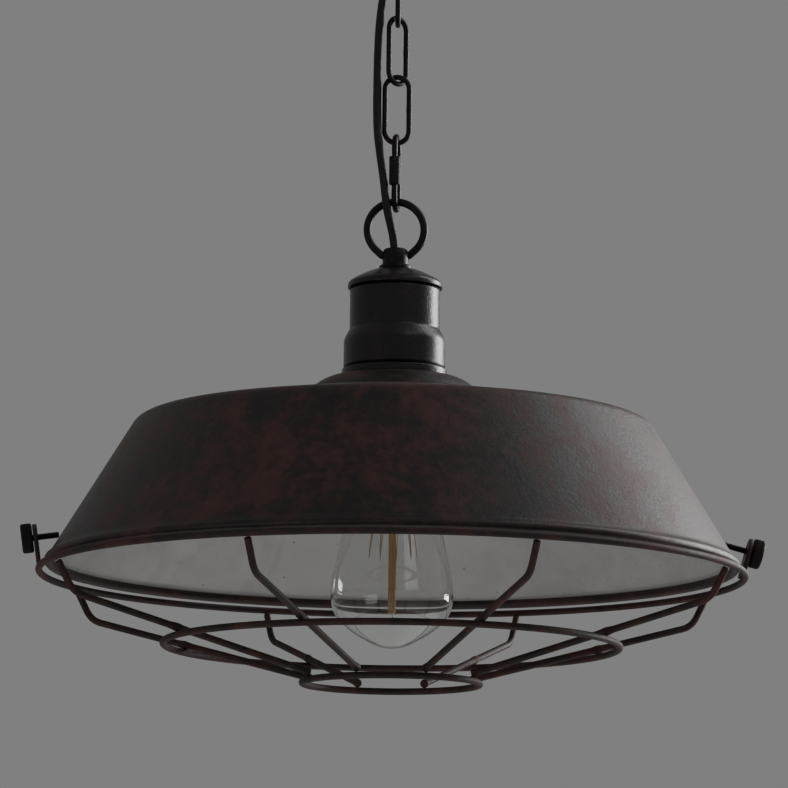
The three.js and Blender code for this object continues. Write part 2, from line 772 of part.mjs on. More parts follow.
// The glass, open at its neck inside the base.
function bulbGlass() {
  const { widestRadius, widestDrop, length, glassWall } = BULB;
  const widestHeight = bulbTip - widestDrop;
  const bottomHeight = bulbTip - length;
  const waist = baseBottom - 1.5;
  const drop = widestHeight - bottomHeight;
  const line = [
    [neckRadius, baseBottom + 6],
    [neckRadius, baseBottom],
    [neckRadius + 2, waist - 2],
  ];
  const steps = 4;
  for (let i = 1; i < steps; i += 1) {
    const share = i / steps;
    const height = waist - 2 + (widestHeight - waist + 2) * share;
    const swell = (widestRadius - neckRadius - 2) * (1.25 * share - 0.25 * share ** 3);
    line.push([neckRadius + 2 + swell, height]);
  }
  line.push(
    [widestRadius, widestHeight],
    [widestRadius * 0.96, widestHeight - drop * 0.24],
    [widestRadius * 0.86, widestHeight - drop * 0.44],
    [widestRadius * 0.7, widestHeight - drop * 0.61],
    [widestRadius * 0.36, widestHeight - drop * 0.86],
    [widestRadius * 0.27, widestHeight - drop * 0.92],
    [0, bottomHeight],
  );
  const inner = offsetLine(line, glassWall).reverse();
  inner[0] = [0, bottomHeight + glassWall];
  return revolve([...line, ...inner], 24);
}
piece(lamp, "bulb_glass", bulbGlass(), GLASS);

const stemInside = neckRadius - BULB.glassWall - GAP;
const stemTop = baseBottom + 4;
const filamentTop = bulbTip - FILAMENT.topDrop;
const filamentBottom = bulbTip - FILAMENT.bottomDrop;
const stem = revolve(
  [
    [0, stemTop],
    [stemInside, stemTop],
    [stemInside, stemTop - 1.5],
    [4, stemTop - 7],
    [3, filamentTop + GAP],
    [0, filamentTop + GAP],
  ],
  20,
);
piece(lamp, "bulb_stem", stem, GLASS);
const filament = cylinder(FILAMENT.radius, filamentBottom, filamentTop, 10);
piece(lamp, "filament", filament, AMBER);

// ---- Wire guard --------------------------------------------------------------------------

const guardWire = GUARD.wire;
const ribOver = (2 * guardWire + GAP) * Math.hypot(1, GUARD.ribSlope); // rib over ring, along Z
const ribHeight = (radius) => -GUARD.kneeDrop - GUARD.ribSlope * (kneeRadius - radius);
const ringHeight = (radius) => ribHeight(radius) - ribOver; // of a ring under the ribs

const topRing = wireRing(guardRadius, 0, guardWire);
piece(lamp, "guard_top_ring", topRing, RUST_BROWN);
const middleRing = wireRing(GUARD.middleRadius, ringHeight(GUARD.middleRadius), guardWire, 32);
piece(lamp, "guard_middle_ring", middleRing, RUST_BROWN);
const bottomRing = wireRing(GUARD.bottomRadius, ringHeight(GUARD.bottomRadius), guardWire, 24);
piece(lamp, "guard_bottom_ring", bottomRing, RUST_BROWN);

// A rib drops from under the top ring, bends in at its knee and runs over the other rings.
function rib() {
  const { bottomRadius, ribSlope } = GUARD;
  const start = [guardRadius - 1, -guardWire - GAP];
  const knee = [kneeRadius, ribHeight(kneeRadius)];
  const end = [bottomRadius - 1, ribHeight(bottomRadius - 1)];
  const soft = 6;
  const down = point(start[0] - knee[0], start[1] - knee[1]).normalize();
  const inward = point(-1, -ribSlope).normalize();
  const bend = new THREE.QuadraticBezierCurve3(
    space(knee[0] + down.x * soft, 0, knee[1] + down.y * soft),
    space(knee[0], 0, knee[1]),
    space(knee[0] + inward.x * soft, 0, knee[1] + inward.y * soft),
  );
  const points = [space(start[0], 0, start[1]), ...bend.getPoints(4), space(end[0], 0, end[1])];
  return tube(new BentLine(points), guardWire, points.length - 1, 8);
}
for (let i = 0; i < GUARD.ribs; i += 1) {
  const mesh = piece(lamp, "guard_rib_" + (i + 1), rib(), RUST_BROWN);
  mesh.rotation.z = radians(GUARD.firstRib + (360 * i) / GUARD.ribs);
}

// A lug stands on the top ring and leans out, and its thumb screw bears on the shade's cone
// above the rolled edge. In a lug's frame X points outwards, and Z up along the plate.
function lugPlate() {
  const { width, height, thickness, holeHeight } = LUG;
  const shape = new THREE.Shape();
  shape.moveTo(-width / 2, 0);
  shape.lineTo(width / 2, 0);
  shape.lineTo(width / 2, height - width / 2);
  shape.absarc(0, height - width / 2, width / 2, 0, Math.PI);
  shape.closePath();
  shape.holes.push(
    new THREE.Path().absarc(0, holeHeight, THUMB.shank + GAP, 0, 2 * Math.PI, true),
  );
  return slab(shape, -thickness / 2, thickness / 2, 10)
    .rotateX(Math.PI / 2)
    .rotateZ(Math.PI / 2);
}

const lugFoot = guardWire + GAP + LUG.thickness / 4;

// How far along the screw's axis the cone lies from the middle of the lug's hole.
function coneDistance(lean) {
  const hole = [
    guardRadius + LUG.holeHeight * Math.sin(lean),
    lugFoot + LUG.holeHeight * Math.cos(lean),
  ];
  const clear = hole[0] - coneRadius(hole[1]);
  return clear / (Math.cos(lean) - SHADE.coneSlope * Math.sin(lean));
}

for (const { side, azimuth, lean } of LUGS) {
  const turn = radians(lean);
  const frame = new THREE.Group();
  frame.rotation.set(0, 0, radians(azimuth));
  lamp.add(frame);
  const leaning = new THREE.Group();
  leaning.position.set(guardRadius, 0, lugFoot);
  leaning.rotation.y = turn;
  frame.add(leaning);
  piece(leaning, "guard_lug_" + side, lugPlate(), RUST_BROWN);

  const screw = new THREE.Group();
  screw.position.z = LUG.holeHeight;
  screw.rotation.y = Math.PI / 2;
  leaning.add(screw);
  // The lower edge of the flat tip meets the cone first.
  const tip = -(coneDistance(turn) - THUMB.shank * (SHADE.coneSlope + Math.tan(turn)) - GAP);
  const knobBottom = LUG.thickness / 2 + GAP;
  const shankEnd = knobBottom + THUMB.boreDepth - GAP;
  const shank = cylinder(THUMB.shank, tip, shankEnd, 12);
  piece(screw, "thumb_screw_shank_" + side, shank, BLACK_STEEL);
  const { knobRadius, knobLength, boreDepth } = THUMB;
  const bore = THUMB.shank + GAP;
  const knob = revolve(
    [
      [bore, knobBottom],
      [knobRadius - 0.9, knobBottom],
      [knobRadius, knobBottom + 0.9],
      [knobRadius, knobBottom + knobLength - 0.9],
      [knobRadius - 0.9, knobBottom + knobLength],
      [0, knobBottom + knobLength],
      [0, knobBottom + boreDepth],
      [bore, knobBottom + boreDepth],
    ],
    20,
  );
  piece(screw, "thumb_screw_knob_" + side, knob, BLACK_STEEL);
}

export default pendant;
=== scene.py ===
"""The finished look of a wire-guarded pendant ceiling light, built around its CAD frame.

Shapes are worked out in millimetres as grids of points, and become meshes in metres. Heights
of the lamp's own pieces are counted from the middle of the guard's top ring.
"""

import math

import bpy
import numpy as np
from bpy.props import FloatProperty, FloatVectorProperty, PointerProperty
from mathutils import Matrix, Vector


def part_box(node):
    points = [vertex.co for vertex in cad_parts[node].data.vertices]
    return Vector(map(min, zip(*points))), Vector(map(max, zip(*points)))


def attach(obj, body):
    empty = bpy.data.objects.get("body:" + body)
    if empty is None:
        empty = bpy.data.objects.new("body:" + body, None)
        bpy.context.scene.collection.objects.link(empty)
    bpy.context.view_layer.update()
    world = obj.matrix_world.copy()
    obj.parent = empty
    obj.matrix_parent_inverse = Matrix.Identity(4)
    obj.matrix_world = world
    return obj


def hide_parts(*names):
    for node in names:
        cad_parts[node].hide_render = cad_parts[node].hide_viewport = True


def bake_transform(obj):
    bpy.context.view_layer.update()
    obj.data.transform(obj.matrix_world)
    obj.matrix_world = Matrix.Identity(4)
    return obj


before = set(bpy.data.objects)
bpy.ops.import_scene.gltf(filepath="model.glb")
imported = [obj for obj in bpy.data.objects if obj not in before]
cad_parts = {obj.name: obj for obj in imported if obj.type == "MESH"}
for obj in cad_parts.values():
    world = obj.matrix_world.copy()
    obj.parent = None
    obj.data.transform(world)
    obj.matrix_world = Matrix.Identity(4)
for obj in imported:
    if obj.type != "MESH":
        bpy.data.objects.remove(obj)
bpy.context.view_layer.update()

bl_info = {
    "name": "Guarded Pendant Light",
    "version": (1, 0, 0),
    "blender": (4, 5, 0),
    "location": "3D View > Sidebar > Pendant",
    "description": "Builds the smooth, finished pieces of a wire-guarded pendant light",
    "category": "Object",
}

MM = 0.001


def middle(node):
    """The middle of a CAD node's box, in millimetres."""
    low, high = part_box(node)
    return np.array((low + high) / 2) / MM


def top_of(node):
    """The height of a CAD node's top, in millimetres."""
    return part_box(node)[1].z / MM


LAMP = middle("guard_top_ring")[2]
CEILING_COLLAR_BASE = top_of("ceiling_collar")
CANOPY_DEPTH = 28.0

# ---- Settings ----


def length(name, description, default):
    """A length property, in metres, from a default in millimetres."""
    return FloatProperty(
        name=name,
        description=description,
        default=default * MM,
        min=0.0001,
        unit="LENGTH",
        precision=5,
    )


def colour(name, description, default):
    """A colour property, in linear red, green and blue."""
    return FloatVectorProperty(
        name=name, description=description, default=default, size=3, min=0, max=1, subtype="COLOR"
    )


class PendantSizes(bpy.types.PropertyGroup):
    """Thicknesses of the wires, sheets and glass."""

    sheet: length("Sheet", "Thickness of the shade's and cap's steel sheet", 1.2)
    bead: length("Rolled bead", "Radius of the shade's rolled edge", 2.6)
    guard_wire: length("Guard wire", "Radius of the guard's wires", 1.8)
    link_wire: length("Link wire", "Radius of the chain's wire", 1.4)
    screw_link_wire: length("Screw link wire", "Radius of the screw link's wire", 1.55)
    ring_wire: length("Ring wire", "Radius of the two open rings' wire", 2.0)
    cord: length("Cord", "Radius of the supply cord", 2.2)
    glass: length("Glass", "Thickness of the bulb's glass", 0.6)


class PendantFinish(bpy.types.PropertyGroup):
    """Colours of the finishes, and how strong the weathering is."""

    brown_dark: colour("Dark brown", "Unworn part of the aged steel", (0.015, 0.0108, 0.0115))
    brown_red: colour("Red brown", "Rusty patches of the aged steel", (0.088, 0.034, 0.027))
    enamel: colour("Enamel", "Inside of the shade", (0.62, 0.61, 0.6))
    blackened: colour("Blackened steel", "Chain, rings and screws", (0.014, 0.013, 0.013))
    rubber: colour("Cord", "Jacket of the supply cord", (0.009, 0.009, 0.01))
    amber: colour("Filament", "Bar inside the bulb", (0.36, 0.22, 0.08))
    rust: FloatProperty(
        name="Rust", description="Share of rusty patches", default=0.64, min=0, max=1, subtype="FACTOR"
    )
    grain: length("Grain", "Depth of the aged steel's grain", 0.4)


class PendantStage(bpy.types.PropertyGroup):
    """Camera, light and floor."""

    distance: length("Distance", "Camera's distance in front of the lamp's axis", 2200)
    drop: length("Drop", "Camera's distance below the ceiling", 655.2)
    lens: FloatProperty(name="Lens", description="Focal length in mm", default=194.25, min=10)
    pitch: FloatProperty(
        name="Pitch", description="Camera's tilt upwards", default=math.radians(9.28), subtype="ANGLE"
    )
    roll: FloatProperty(
        name="Roll", description="Camera's turn about its view", default=math.radians(0.6), subtype="ANGLE"
    )
    backdrop: FloatProperty(
        name="Backdrop", description="Brightness of the surroundings", default=0.216, min=0
    )
    side_light: FloatProperty(
        name="Side light", description="Power of the soft box on the right", default=21, unit="POWER"
    )
    high_light: FloatProperty(
        name="High light", description="Power of the soft box above it", default=7, unit="POWER"
    )
    fill_light: FloatProperty(
        name="Fill light", description="Power of the soft box in front", default=3.5, unit="POWER"
    )
    floor_drop: length("Floor drop", "Floor's distance below the ceiling", 1300)


# ---- Points ----


def unit(vector):
    """A vector, or an array of them, scaled to length one."""
    vector = np.asarray(vector, float)
    return vector / np.linalg.norm(vector, axis=-1, keepdims=True)


def turns(count):
    """Even angles round one full turn, the last short of the first by one step."""
    return np.linspace(0, 2 * math.pi, count, endpoint=False)


def spread(path, longest, closed):
    """Points added along a path so that no stretch between two is over the longest."""
    starts = path if closed else path[:-1]
    ends = np.roll(path, -1, 0) if closed else path[1:]
    counts = np.maximum(1, np.ceil(np.linalg.norm(ends - starts, axis=1) / longest).astype(int))
    which = np.repeat(np.arange(len(starts)), counts)
    step = np.arange(counts.sum()) - np.repeat(np.cumsum(counts) - counts, counts)
    even = starts[which] + (ends - starts)[which] * (step / counts[which])[:, None]
    return even if closed else np.vstack([even, path[-1:]])


def soften(line, radius=0.4, closed=True, longest=3.0, steps=5):
    """A line with rounded corners. Each corner becomes a parabola that starts and ends at the
    given distance from it, or at 0.45 of a side that is too short for that."""
    corner = np.asarray(line, float)
    reach = np.broadcast_to(np.asarray(radius, float), len(corner))[:, None]
    back = np.roll(corner, 1, 0) - corner
    on = np.roll(corner, -1, 0) - corner
    far_back = np.linalg.norm(back, axis=1, keepdims=True)
    far_on = np.linalg.norm(on, axis=1, keepdims=True)
    start = corner + back * np.minimum(reach, 0.45 * far_back) / far_back
    end = corner + on * np.minimum(reach, 0.45 * far_on) / far_on
    s = np.linspace(0, 1, steps)[None, :, None]
    bend = (1 - s) ** 2 * start[:, None] + 2 * s * (1 - s) * corner[:, None] + s**2 * end[:, None]
    if closed:
        return spread(bend.reshape(-1, corner.shape[1]), longest, True)
    inner = bend[1:-1].reshape(-1, corner.shape[1])
    return spread(np.vstack([corner[:1], inner, corner[-1:]]), longest, False)


def through(points, per=8):
    """A smooth line through given points: between two of them it is the cubic whose slope at
    each is half the step from the point before to the point after."""
    p = np.asarray(points, float)
    p = np.vstack([2 * p[0] - p[1], p, 2 * p[-1] - p[-2]])
    a, b, c, d = (p[i : len(p) - 3 + i, None] for i in range(4))
    s = np.linspace(0, 1, per, endpoint=False)[None, :, None]
    cubic = (3 * b - a - 3 * c + d) * s**3
    line = 0.5 * (2 * b + (c - a) * s + (2 * a - 5 * b + 4 * c - d) * s**2 + cubic)
    return np.vstack([line.reshape(-1, p.shape[1]), p[-2:-1]])


def placed(rows, origin=(0, 0, 0), x=(1, 0, 0), z=(0, 0, 1)):
    """Points moved from a frame of their own, with the given origin and X and Z directions."""
    x, z = unit(x), unit(z)
    return rows @ np.array([x, np.cross(z, x), z]) + np.asarray(origin, float)


def lifted(rows, height=LAMP):
    """Points moved up from the lamp's own heights to the part's."""
    return rows + np.array([0, 0, height])


# ---- Surfaces ----


def turned(outline, around=96, swell=None):
    """Rows of a turned shape: each point (r, z) of the outline is carried once round Z to
    (r cos a, r sin a, z). swell gives what is added to r from r, z and a."""
    r, z = (outline[:, i, None] for i in (0, 1))
    a = turns(around)[None, :]
    r = r + (swell(r, z, a) if swell else 0 * a)
    return np.stack([r * np.cos(a), r * np.sin(a), np.broadcast_to(z, r.shape)], -1)


def wire_rows(path, radius, side, around=20, loop=False):
    """Rows of a round wire: each is a circle about a point of the path, in the plane square to
    the path there. side is a direction that the path never follows."""
    path = np.asarray(path, float)
    step = np.roll(path, -1, 0) - np.roll(path, 1, 0) if loop else np.gradient(path, axis=0)
    along = unit(step)
    across = unit(np.asarray(side, float) - (along @ np.asarray(side, float))[:, None] * along)
    up = np.cross(along, across)
    a = turns(around)[None, :, None]
    radius = np.broadcast_to(np.asarray(radius, float), len(path))[:, None, None]
    return path[:, None] + radius * (np.cos(a) * across[:, None] + np.sin(a) * up[:, None])


def blunt(path, radius):
    """A path, and its radius at each point, with both ends drawn in over a third of the radius
    so that a wire's ends are rounded."""
    path = np.asarray(path, float)
    first, last = unit(path[1] - path[0]), unit(path[-2] - path[-1])
    steps = np.array([0, 0.1, 0.34])[:, None] * radius
    body = path[1:-1]
    body = body[np.linalg.norm(body - path[0], axis=1) > 0.5 * radius]
    body = body[np.linalg.norm(body - path[-1], axis=1) > 0.5 * radius]
    whole = np.vstack([path[0] + first * steps, body, (path[-1] + last * steps)[::-1]])
    radii = np.full(len(whole), radius)
    radii[[0, -1]] *= 0.66
    radii[[1, -2]] *= 0.88
    return whole, radii


def plate_rows(outline, bore, thickness, edge=0.35):
    """Rows of a plate with a round hole at its origin. A point moves from the hole's rim to the
    outline, over the edge and back along the other face; a share of 0 is the rim, 1 the edge."""
    rim = unit(outline) * bore
    half = thickness / 2
    faces = [(0, half - edge), (0.04, half), (0.5, half), (0.9, half), (0.97, half - 0.3 * edge)]
    share = np.array([s for s, _ in faces] + [1, 1] + [s for s, _ in faces[::-1]])
    level = np.array([h for _, h in faces] + [half - edge, edge - half] + [-h for _, h in faces[::-1]])
    flat = rim[None] + (outline - rim)[None] * share[:, None, None]
    return np.concatenate([flat, np.broadcast_to(level[:, None, None], flat[..., :1].shape)], -1)


def skin(name, rows, loop=False, poles=None, mark=None):
    """A closed smooth mesh over rows of points, each row a closed ring. With loop the last row
    joins the first; without it each end closes on a pole, by default its row's middle. mark
    gives each row its value of the attribute "inside". The faces are turned round where the
    volume that they hold comes out negative."""
    count, around = rows.shape[:2]
    grid = np.arange(count * around).reshape(count, around)
    above = grid if loop else grid[:-1]
    below = np.roll(grid, -1, 0) if loop else grid[1:]
    faces = np.stack([above, np.roll(above, -1, 1), np.roll(below, -1, 1), below], -1).reshape(-1, 4)
    points = rows.reshape(-1, 3)
    fans = np.zeros((0, 3), int)
    if not loop:
        points = np.vstack([points, poles or (rows[0].mean(0), rows[-1].mean(0))])
        start, end = np.full(around, len(points) - 2), np.full(around, len(points) - 1)
        first, last = grid[0], grid[-1]
        fans = np.vstack(
            [
                np.stack([start, np.roll(first, -1), first], -1),
                np.stack([end, last, np.roll(last, -1)], -1),
            ]
        )
    a, b, c, d = (points[faces[:, i]] for i in range(4))
    e, f, g = (points[fans[:, i]] for i in range(3))
    volume = (a * np.cross(b, c)).sum() + (a * np.cross(c, d)).sum() + (e * np.cross(f, g)).sum()
    if volume < 0:
        faces, fans = faces[:, ::-1], fans[:, ::-1]
    mesh = bpy.data.meshes.new(name)
    mesh.from_pydata((points * MM).tolist(), [], faces.tolist() + fans.tolist())
    mesh.shade_smooth()
    if mark is not None:
        layer = mesh.attributes.new("inside", "FLOAT", "POINT")
        values = np.zeros(len(points), np.float32)
        values[: count * around] = np.repeat(mark, around)
        layer.data.foreach_set("value", values)
    piece = bpy.data.objects.new(name, mesh)
    bpy.context.scene.collection.objects.link(piece)
    return piece


def solid_of_turning(name, line, radius=0.4, place=lifted, around=96, longest=3.0, swell=None):
    """A turned piece from a line of (r, z) corners, which starts and ends on the axis or
    closes on itself."""
    line = np.asarray(line, float)
    on_axis = line[0, 0] == 0
    rows = place(turned(soften(line, radius, not on_axis, longest), around, swell))
    if on_axis:
        return skin(name, rows[1:-1], poles=(rows[0, 0], rows[-1, 0]))
    return skin(name, rows, loop=True)


def offset(line, distance):
    """A line moved sideways to its right by a distance, its corners mitred."""
    along = unit(np.diff(line, axis=0))
    normal = np.stack([along[:, 1], -along[:, 0]], -1)
    before, after = np.vstack([normal[:1], normal]), np.vstack([normal, normal[-1:]])
    mean = unit(before + after)
    return line + mean * distance / (mean * before).sum(1, keepdims=True)


def sheet_of_turning(name, line, wall, longest=2.5, around=160):
    """A turned piece of the lamp in sheet: its outer line, and that line moved in by the wall."""
    both = np.vstack([line, offset(line, wall)[::-1]])
    return skin(name, lifted(turned(spread(both, longest, True), around)), loop=True)


# ---- Finishes ----


class Wire:
    """A socket whose value can be used in sums: each operation adds a Math node."""

    def __init__(self, paint, socket):
        self.paint = paint
        self.socket = socket

    def _sum(self, operation, first, second):
        return self.paint.node("ShaderNodeMath", {"operation": operation}, {0: first, 1: second})

    def __add__(self, other):
        return self._sum("ADD", self, other)

    def __sub__(self, other):
        return self._sum("SUBTRACT", self, other)

    def __rsub__(self, other):
        return self._sum("SUBTRACT", other, self)

    def __mul__(self, other):
        return self._sum("MULTIPLY", self, other)

    __radd__ = __add__
    __rmul__ = __mul__


class Paint:
    """One material, and the one way in which nodes are added to it."""

    def __init__(self, name):
        self.material = bpy.data.materials.new(name)
        self.material.use_nodes = True
        self.tree = self.material.node_tree
        self.tree.nodes.clear()
        self.place = self.node("ShaderNodeTexCoord", output="Object")

    def node(self, kind, settings=None, inputs=None, output=0):
        """Adds a node. Its settings come first, then the values or links of its sockets."""
        made = self.tree.nodes.new(kind)
        for key, value in (settings or {}).items():
            setattr(made, key, value)
        for key, value in (inputs or {}).items():
            if isinstance(value, Wire):
                self.tree.links.new(value.socket, made.inputs[key])
            else:
                made.inputs[key].default_value = value
        return Wire(self, made.outputs[output])

    def noise(self, scale, detail=5.0, rough=0.6, warp=0.0, place=None):
        """Fractal noise with this many features to the metre."""
        sizes = {"Scale": scale, "Detail": detail, "Roughness": rough, "Distortion": warp}
        return self.node("ShaderNodeTexNoise", None, {"Vector": place or self.place, **sizes})

    def stretched(self, x, y, z):
        """Object coordinates multiplied along each axis, for grain that runs one way."""
        return self.node(
            "ShaderNodeVectorMath", {"operation": "MULTIPLY"}, {0: self.place, 1: (x, y, z)}
        )

    def step(self, value, low, high):
        """0 below low and 1 above high, with a smooth rise between."""
        sizes = {"Value": value, "From Min": low, "From Max": high}
        return self.node("ShaderNodeMapRange", {"interpolation_type": "SMOOTHSTEP"}, sizes)

    def blend(self, share, first, second):
        """One colour turning into another as the share goes from 0 to 1."""
        colours = {
            6: first if isinstance(first, Wire) else (*first, 1),
            7: second if isinstance(second, Wire) else (*second, 1),
        }
        return self.node("ShaderNodeMix", {"data_type": "RGBA"}, {0: share, **colours}, output=2)

    def surface(self, base, roughness, height=None, depth=0.0002, strength=1.0, **constants):
        """Ends the material with a Principled shader, its bump from a height between 0 and 1."""
        inputs = {"Base Color": base, "Roughness": roughness}
        if height is not None:
            bump = {"Height": height, "Distance": depth, "Strength": strength}
            inputs["Normal"] = self.node("ShaderNodeBump", None, bump)
        for key, value in constants.items():
            inputs[key.replace("_", " ")] = value
        shader = self.node("ShaderNodeBsdfPrincipled", None, inputs)
        end = self.tree.nodes.new("ShaderNodeOutputMaterial")
        self.tree.links.new(shader.socket, end.inputs["Surface"])
        return self.material


def aged_steel(look, name="aged brown steel", dull=0.36, share=1.0, enamelled=False):
    """Dark brown painted steel with reddish rust in soft patches and fine flecks, a few flecks
    worn paler, a pitted grain, and a satin sheen that dulls where it is rusty. share is how
    much of the rust this piece gets. With enamelled, the faces marked inside are glossy
    off-white enamel with faint clouding and a few dark specks."""
    paint = Paint(name)
    cloud = paint.noise(26, 7, 0.66, 0.7)
    fleck = paint.noise(170, 8, 0.72, 0.3)
    pits = paint.noise(560, 4, 0.65)
    drip = paint.noise(1, 5, 0.6, 0.2, paint.stretched(70, 70, 16))
    limit = 0.56 - 0.22 * look.rust * share
    red = paint.step(cloud * 0.5 + fleck * 0.35 + drip * 0.15, limit, limit + 0.2)
    base = paint.blend(red, look.brown_dark, look.brown_red)
    worn = paint.step(fleck, 0.6, 0.74) * 0.22
    base = paint.blend(worn, base, (0.13, 0.085, 0.075))
    roughness = dull + red * 0.14 + pits * 0.14
    height = fleck * 0.5 + pits * 0.5
    if enamelled:
        inside = paint.node("ShaderNodeAttribute", {"attribute_name": "inside"}, output="Fac")
        speck = paint.step(paint.noise(330, 3, 0.5), 0.70, 0.76)
        shaded = tuple(0.82 * c for c in look.enamel)
        white = paint.blend(paint.step(cloud, 0.35, 0.7), look.enamel, shaded)
        white = paint.blend(speck * 0.5, white, look.brown_red)
        base = paint.blend(inside, base, white)
        roughness = roughness * (1 - inside) + inside * (0.2 + cloud * 0.12)
        height = height * (1 - inside * 0.93)
    return paint.surface(base, roughness, height, look.grain, 0.8)


def blackened_steel(look, name="blackened steel"):
    """Near-black steel, faintly brown in places, rubbed a little brighter in fine scratches."""
    paint = Paint(name)
    cloud = paint.noise(120, 5, 0.6, 0.4)
    rub = paint.noise(900, 5, 0.7, place=paint.stretched(1, 1, 0.25))
    base = paint.blend(paint.step(cloud, 0.45, 0.7), look.blackened, (0.03, 0.019, 0.016))
    base = paint.blend(paint.step(rub, 0.6, 0.78) * 0.5, base, (0.09, 0.085, 0.082))
    return paint.surface(base, 0.3 + cloud * 0.26, rub * 0.6 + cloud * 0.4, 0.00012, 0.7, Metallic=0.55)


def plated(name, tone, dull, tint=0.75, metallic=1.0):
    """Plated or bare metal: fine brushed grain, with clouds of a darker tarnish."""
    paint = Paint(name)
    cloud = paint.noise(110, 5, 0.6, 0.5)
    brushed = paint.noise(1, 4, 0.6, place=paint.stretched(500, 500, 2600))
    dark = tuple(tint * tint * c for c in tone)
    base = paint.blend(paint.step(cloud, 0.4, 0.75), tone, dark)
    roughness = dull + cloud * 0.15 + brushed * 0.1
    return paint.surface(base, roughness, brushed, 0.00004, 0.6, Metallic=metallic)


def moulded(name, tone, dull, mottle=0.3):
    """Moulded plastic, glaze or glass-like filler: faint mottling and a slight orange peel."""
    paint = Paint(name)
    cloud = paint.noise(160, 5, 0.6, 0.8)
    peel = paint.noise(1100, 2, 0.5)
    pale = tuple(min(1, (1 + mottle) * c) for c in tone)
    base = paint.blend(paint.step(cloud, 0.4, 0.7), tone, pale)
    return paint.surface(base, dull + cloud * 0.14, peel, 0.00003, 0.6)


def cord_jacket(look):
    """Matt black rubber with the faint lay of the cores under it and a little dust."""
    paint = Paint("cord rubber")
    dust = paint.noise(420, 5, 0.7)
    lay = paint.node(
        "ShaderNodeTexWave",
        {"wave_type": "BANDS", "bands_direction": "DIAGONAL"},
        {"Vector": paint.place, "Scale": 95.0, "Distortion": 0.6, "Detail": 1.0},
        output="Fac",
    )
    base = paint.blend(paint.step(dust, 0.5, 0.8), look.rubber, (0.03, 0.029, 0.028))
    return paint.surface(base, 0.5 + dust * 0.2, lay * 0.7 + dust * 0.3, 0.00012, 0.7)


def clear_glass():
    """Clear thin glass with barely visible ripples and a trace of dust in its gloss."""
    paint = Paint("clear glass")
    ripple = paint.noise(45, 2, 0.5)
    dust = paint.noise(600, 4, 0.7)
    constants = {"Transmission_Weight": 1.0, "IOR": 1.45}
    tint = paint.blend(paint.step(dust, 0.55, 0.85) * 0.12, (0.97, 0.975, 0.97), (0.8, 0.79, 0.77))
    return paint.surface(tint, 0.01 + paint.step(dust, 0.6, 0.85) * 0.06, ripple, 0.0004, 0.15, **constants)


def amber_bar(look):
    """The amber coating of the bar: slightly uneven, and given a weak painted glow so that it shows
    brighter through the glass.
    """
    paint = Paint("amber bar")
    grain = paint.noise(900, 4, 0.6)
    deep = tuple(0.62 * c for c in look.amber)
    base = paint.blend(grain, deep, look.amber)
    # Painted glow: a weak emission that brightens the bar, standing in for light falling on it.
    painted_glow = {"Emission_Color": base, "Emission_Strength": 0.12}
    return paint.surface(base, 0.35 + grain * 0.2, grain, 0.00005, 0.6, **painted_glow)


_made = {}


def finish(name):
    """The material of this name, made once."""
    look = bpy.context.scene.pendant_finish
    makers = {
        "aged": lambda: aged_steel(look),
        "aged cap": lambda: aged_steel(look, "aged brown cap", 0.22, 0.15),
        "aged wire": lambda: aged_steel(look, "aged brown wire", 0.56),
        "enamelled": lambda: aged_steel(look, "aged brown steel, enamel inside", enamelled=True),
        "blackened": lambda: blackened_steel(look),
        "zinc": lambda: plated("zinc plate", (0.55, 0.56, 0.57), 0.28),
        "brass": lambda: plated("brass", (0.69, 0.5, 0.22), 0.22),
        "aluminium": lambda: plated("bulb aluminium", (0.66, 0.65, 0.63), 0.2, 0.85),
        "solder": lambda: plated("solder", (0.5, 0.5, 0.49), 0.35, 0.8),
        "bakelite": lambda: moulded("black moulding", (0.016, 0.013, 0.012), 0.3),
        "porcelain": lambda: moulded("porcelain", (0.74, 0.72, 0.67), 0.12, 0.06),
        "nylon": lambda: moulded("nylon", (0.66, 0.65, 0.6), 0.4, 0.08),
        "black glass": lambda: moulded("black glass", (0.006, 0.006, 0.007), 0.08, 0.5),
        "rubber": lambda: cord_jacket(look),
        "glass": clear_glass,
        "amber": lambda: amber_bar(look),
    }
    if name not in _made:
        _made[name] = makers[name]()
    return _made[name]


def fit(piece, look, body, slot, *nodes):
    """Gives a new piece its finish and its body, and hides the CAD nodes that it stands for. The slot is
    not used.
    """
    piece.data.materials.append(finish(look))
    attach(piece, body)
    if nodes:
        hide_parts(*nodes)
    return piece


def dress(look, *nodes):
    """Gives carried-over CAD nodes a finish."""
    for name in nodes:
        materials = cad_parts[name].data.materials
        materials.clear()
        materials.append(finish(look))


# ---- Stage and cord ----


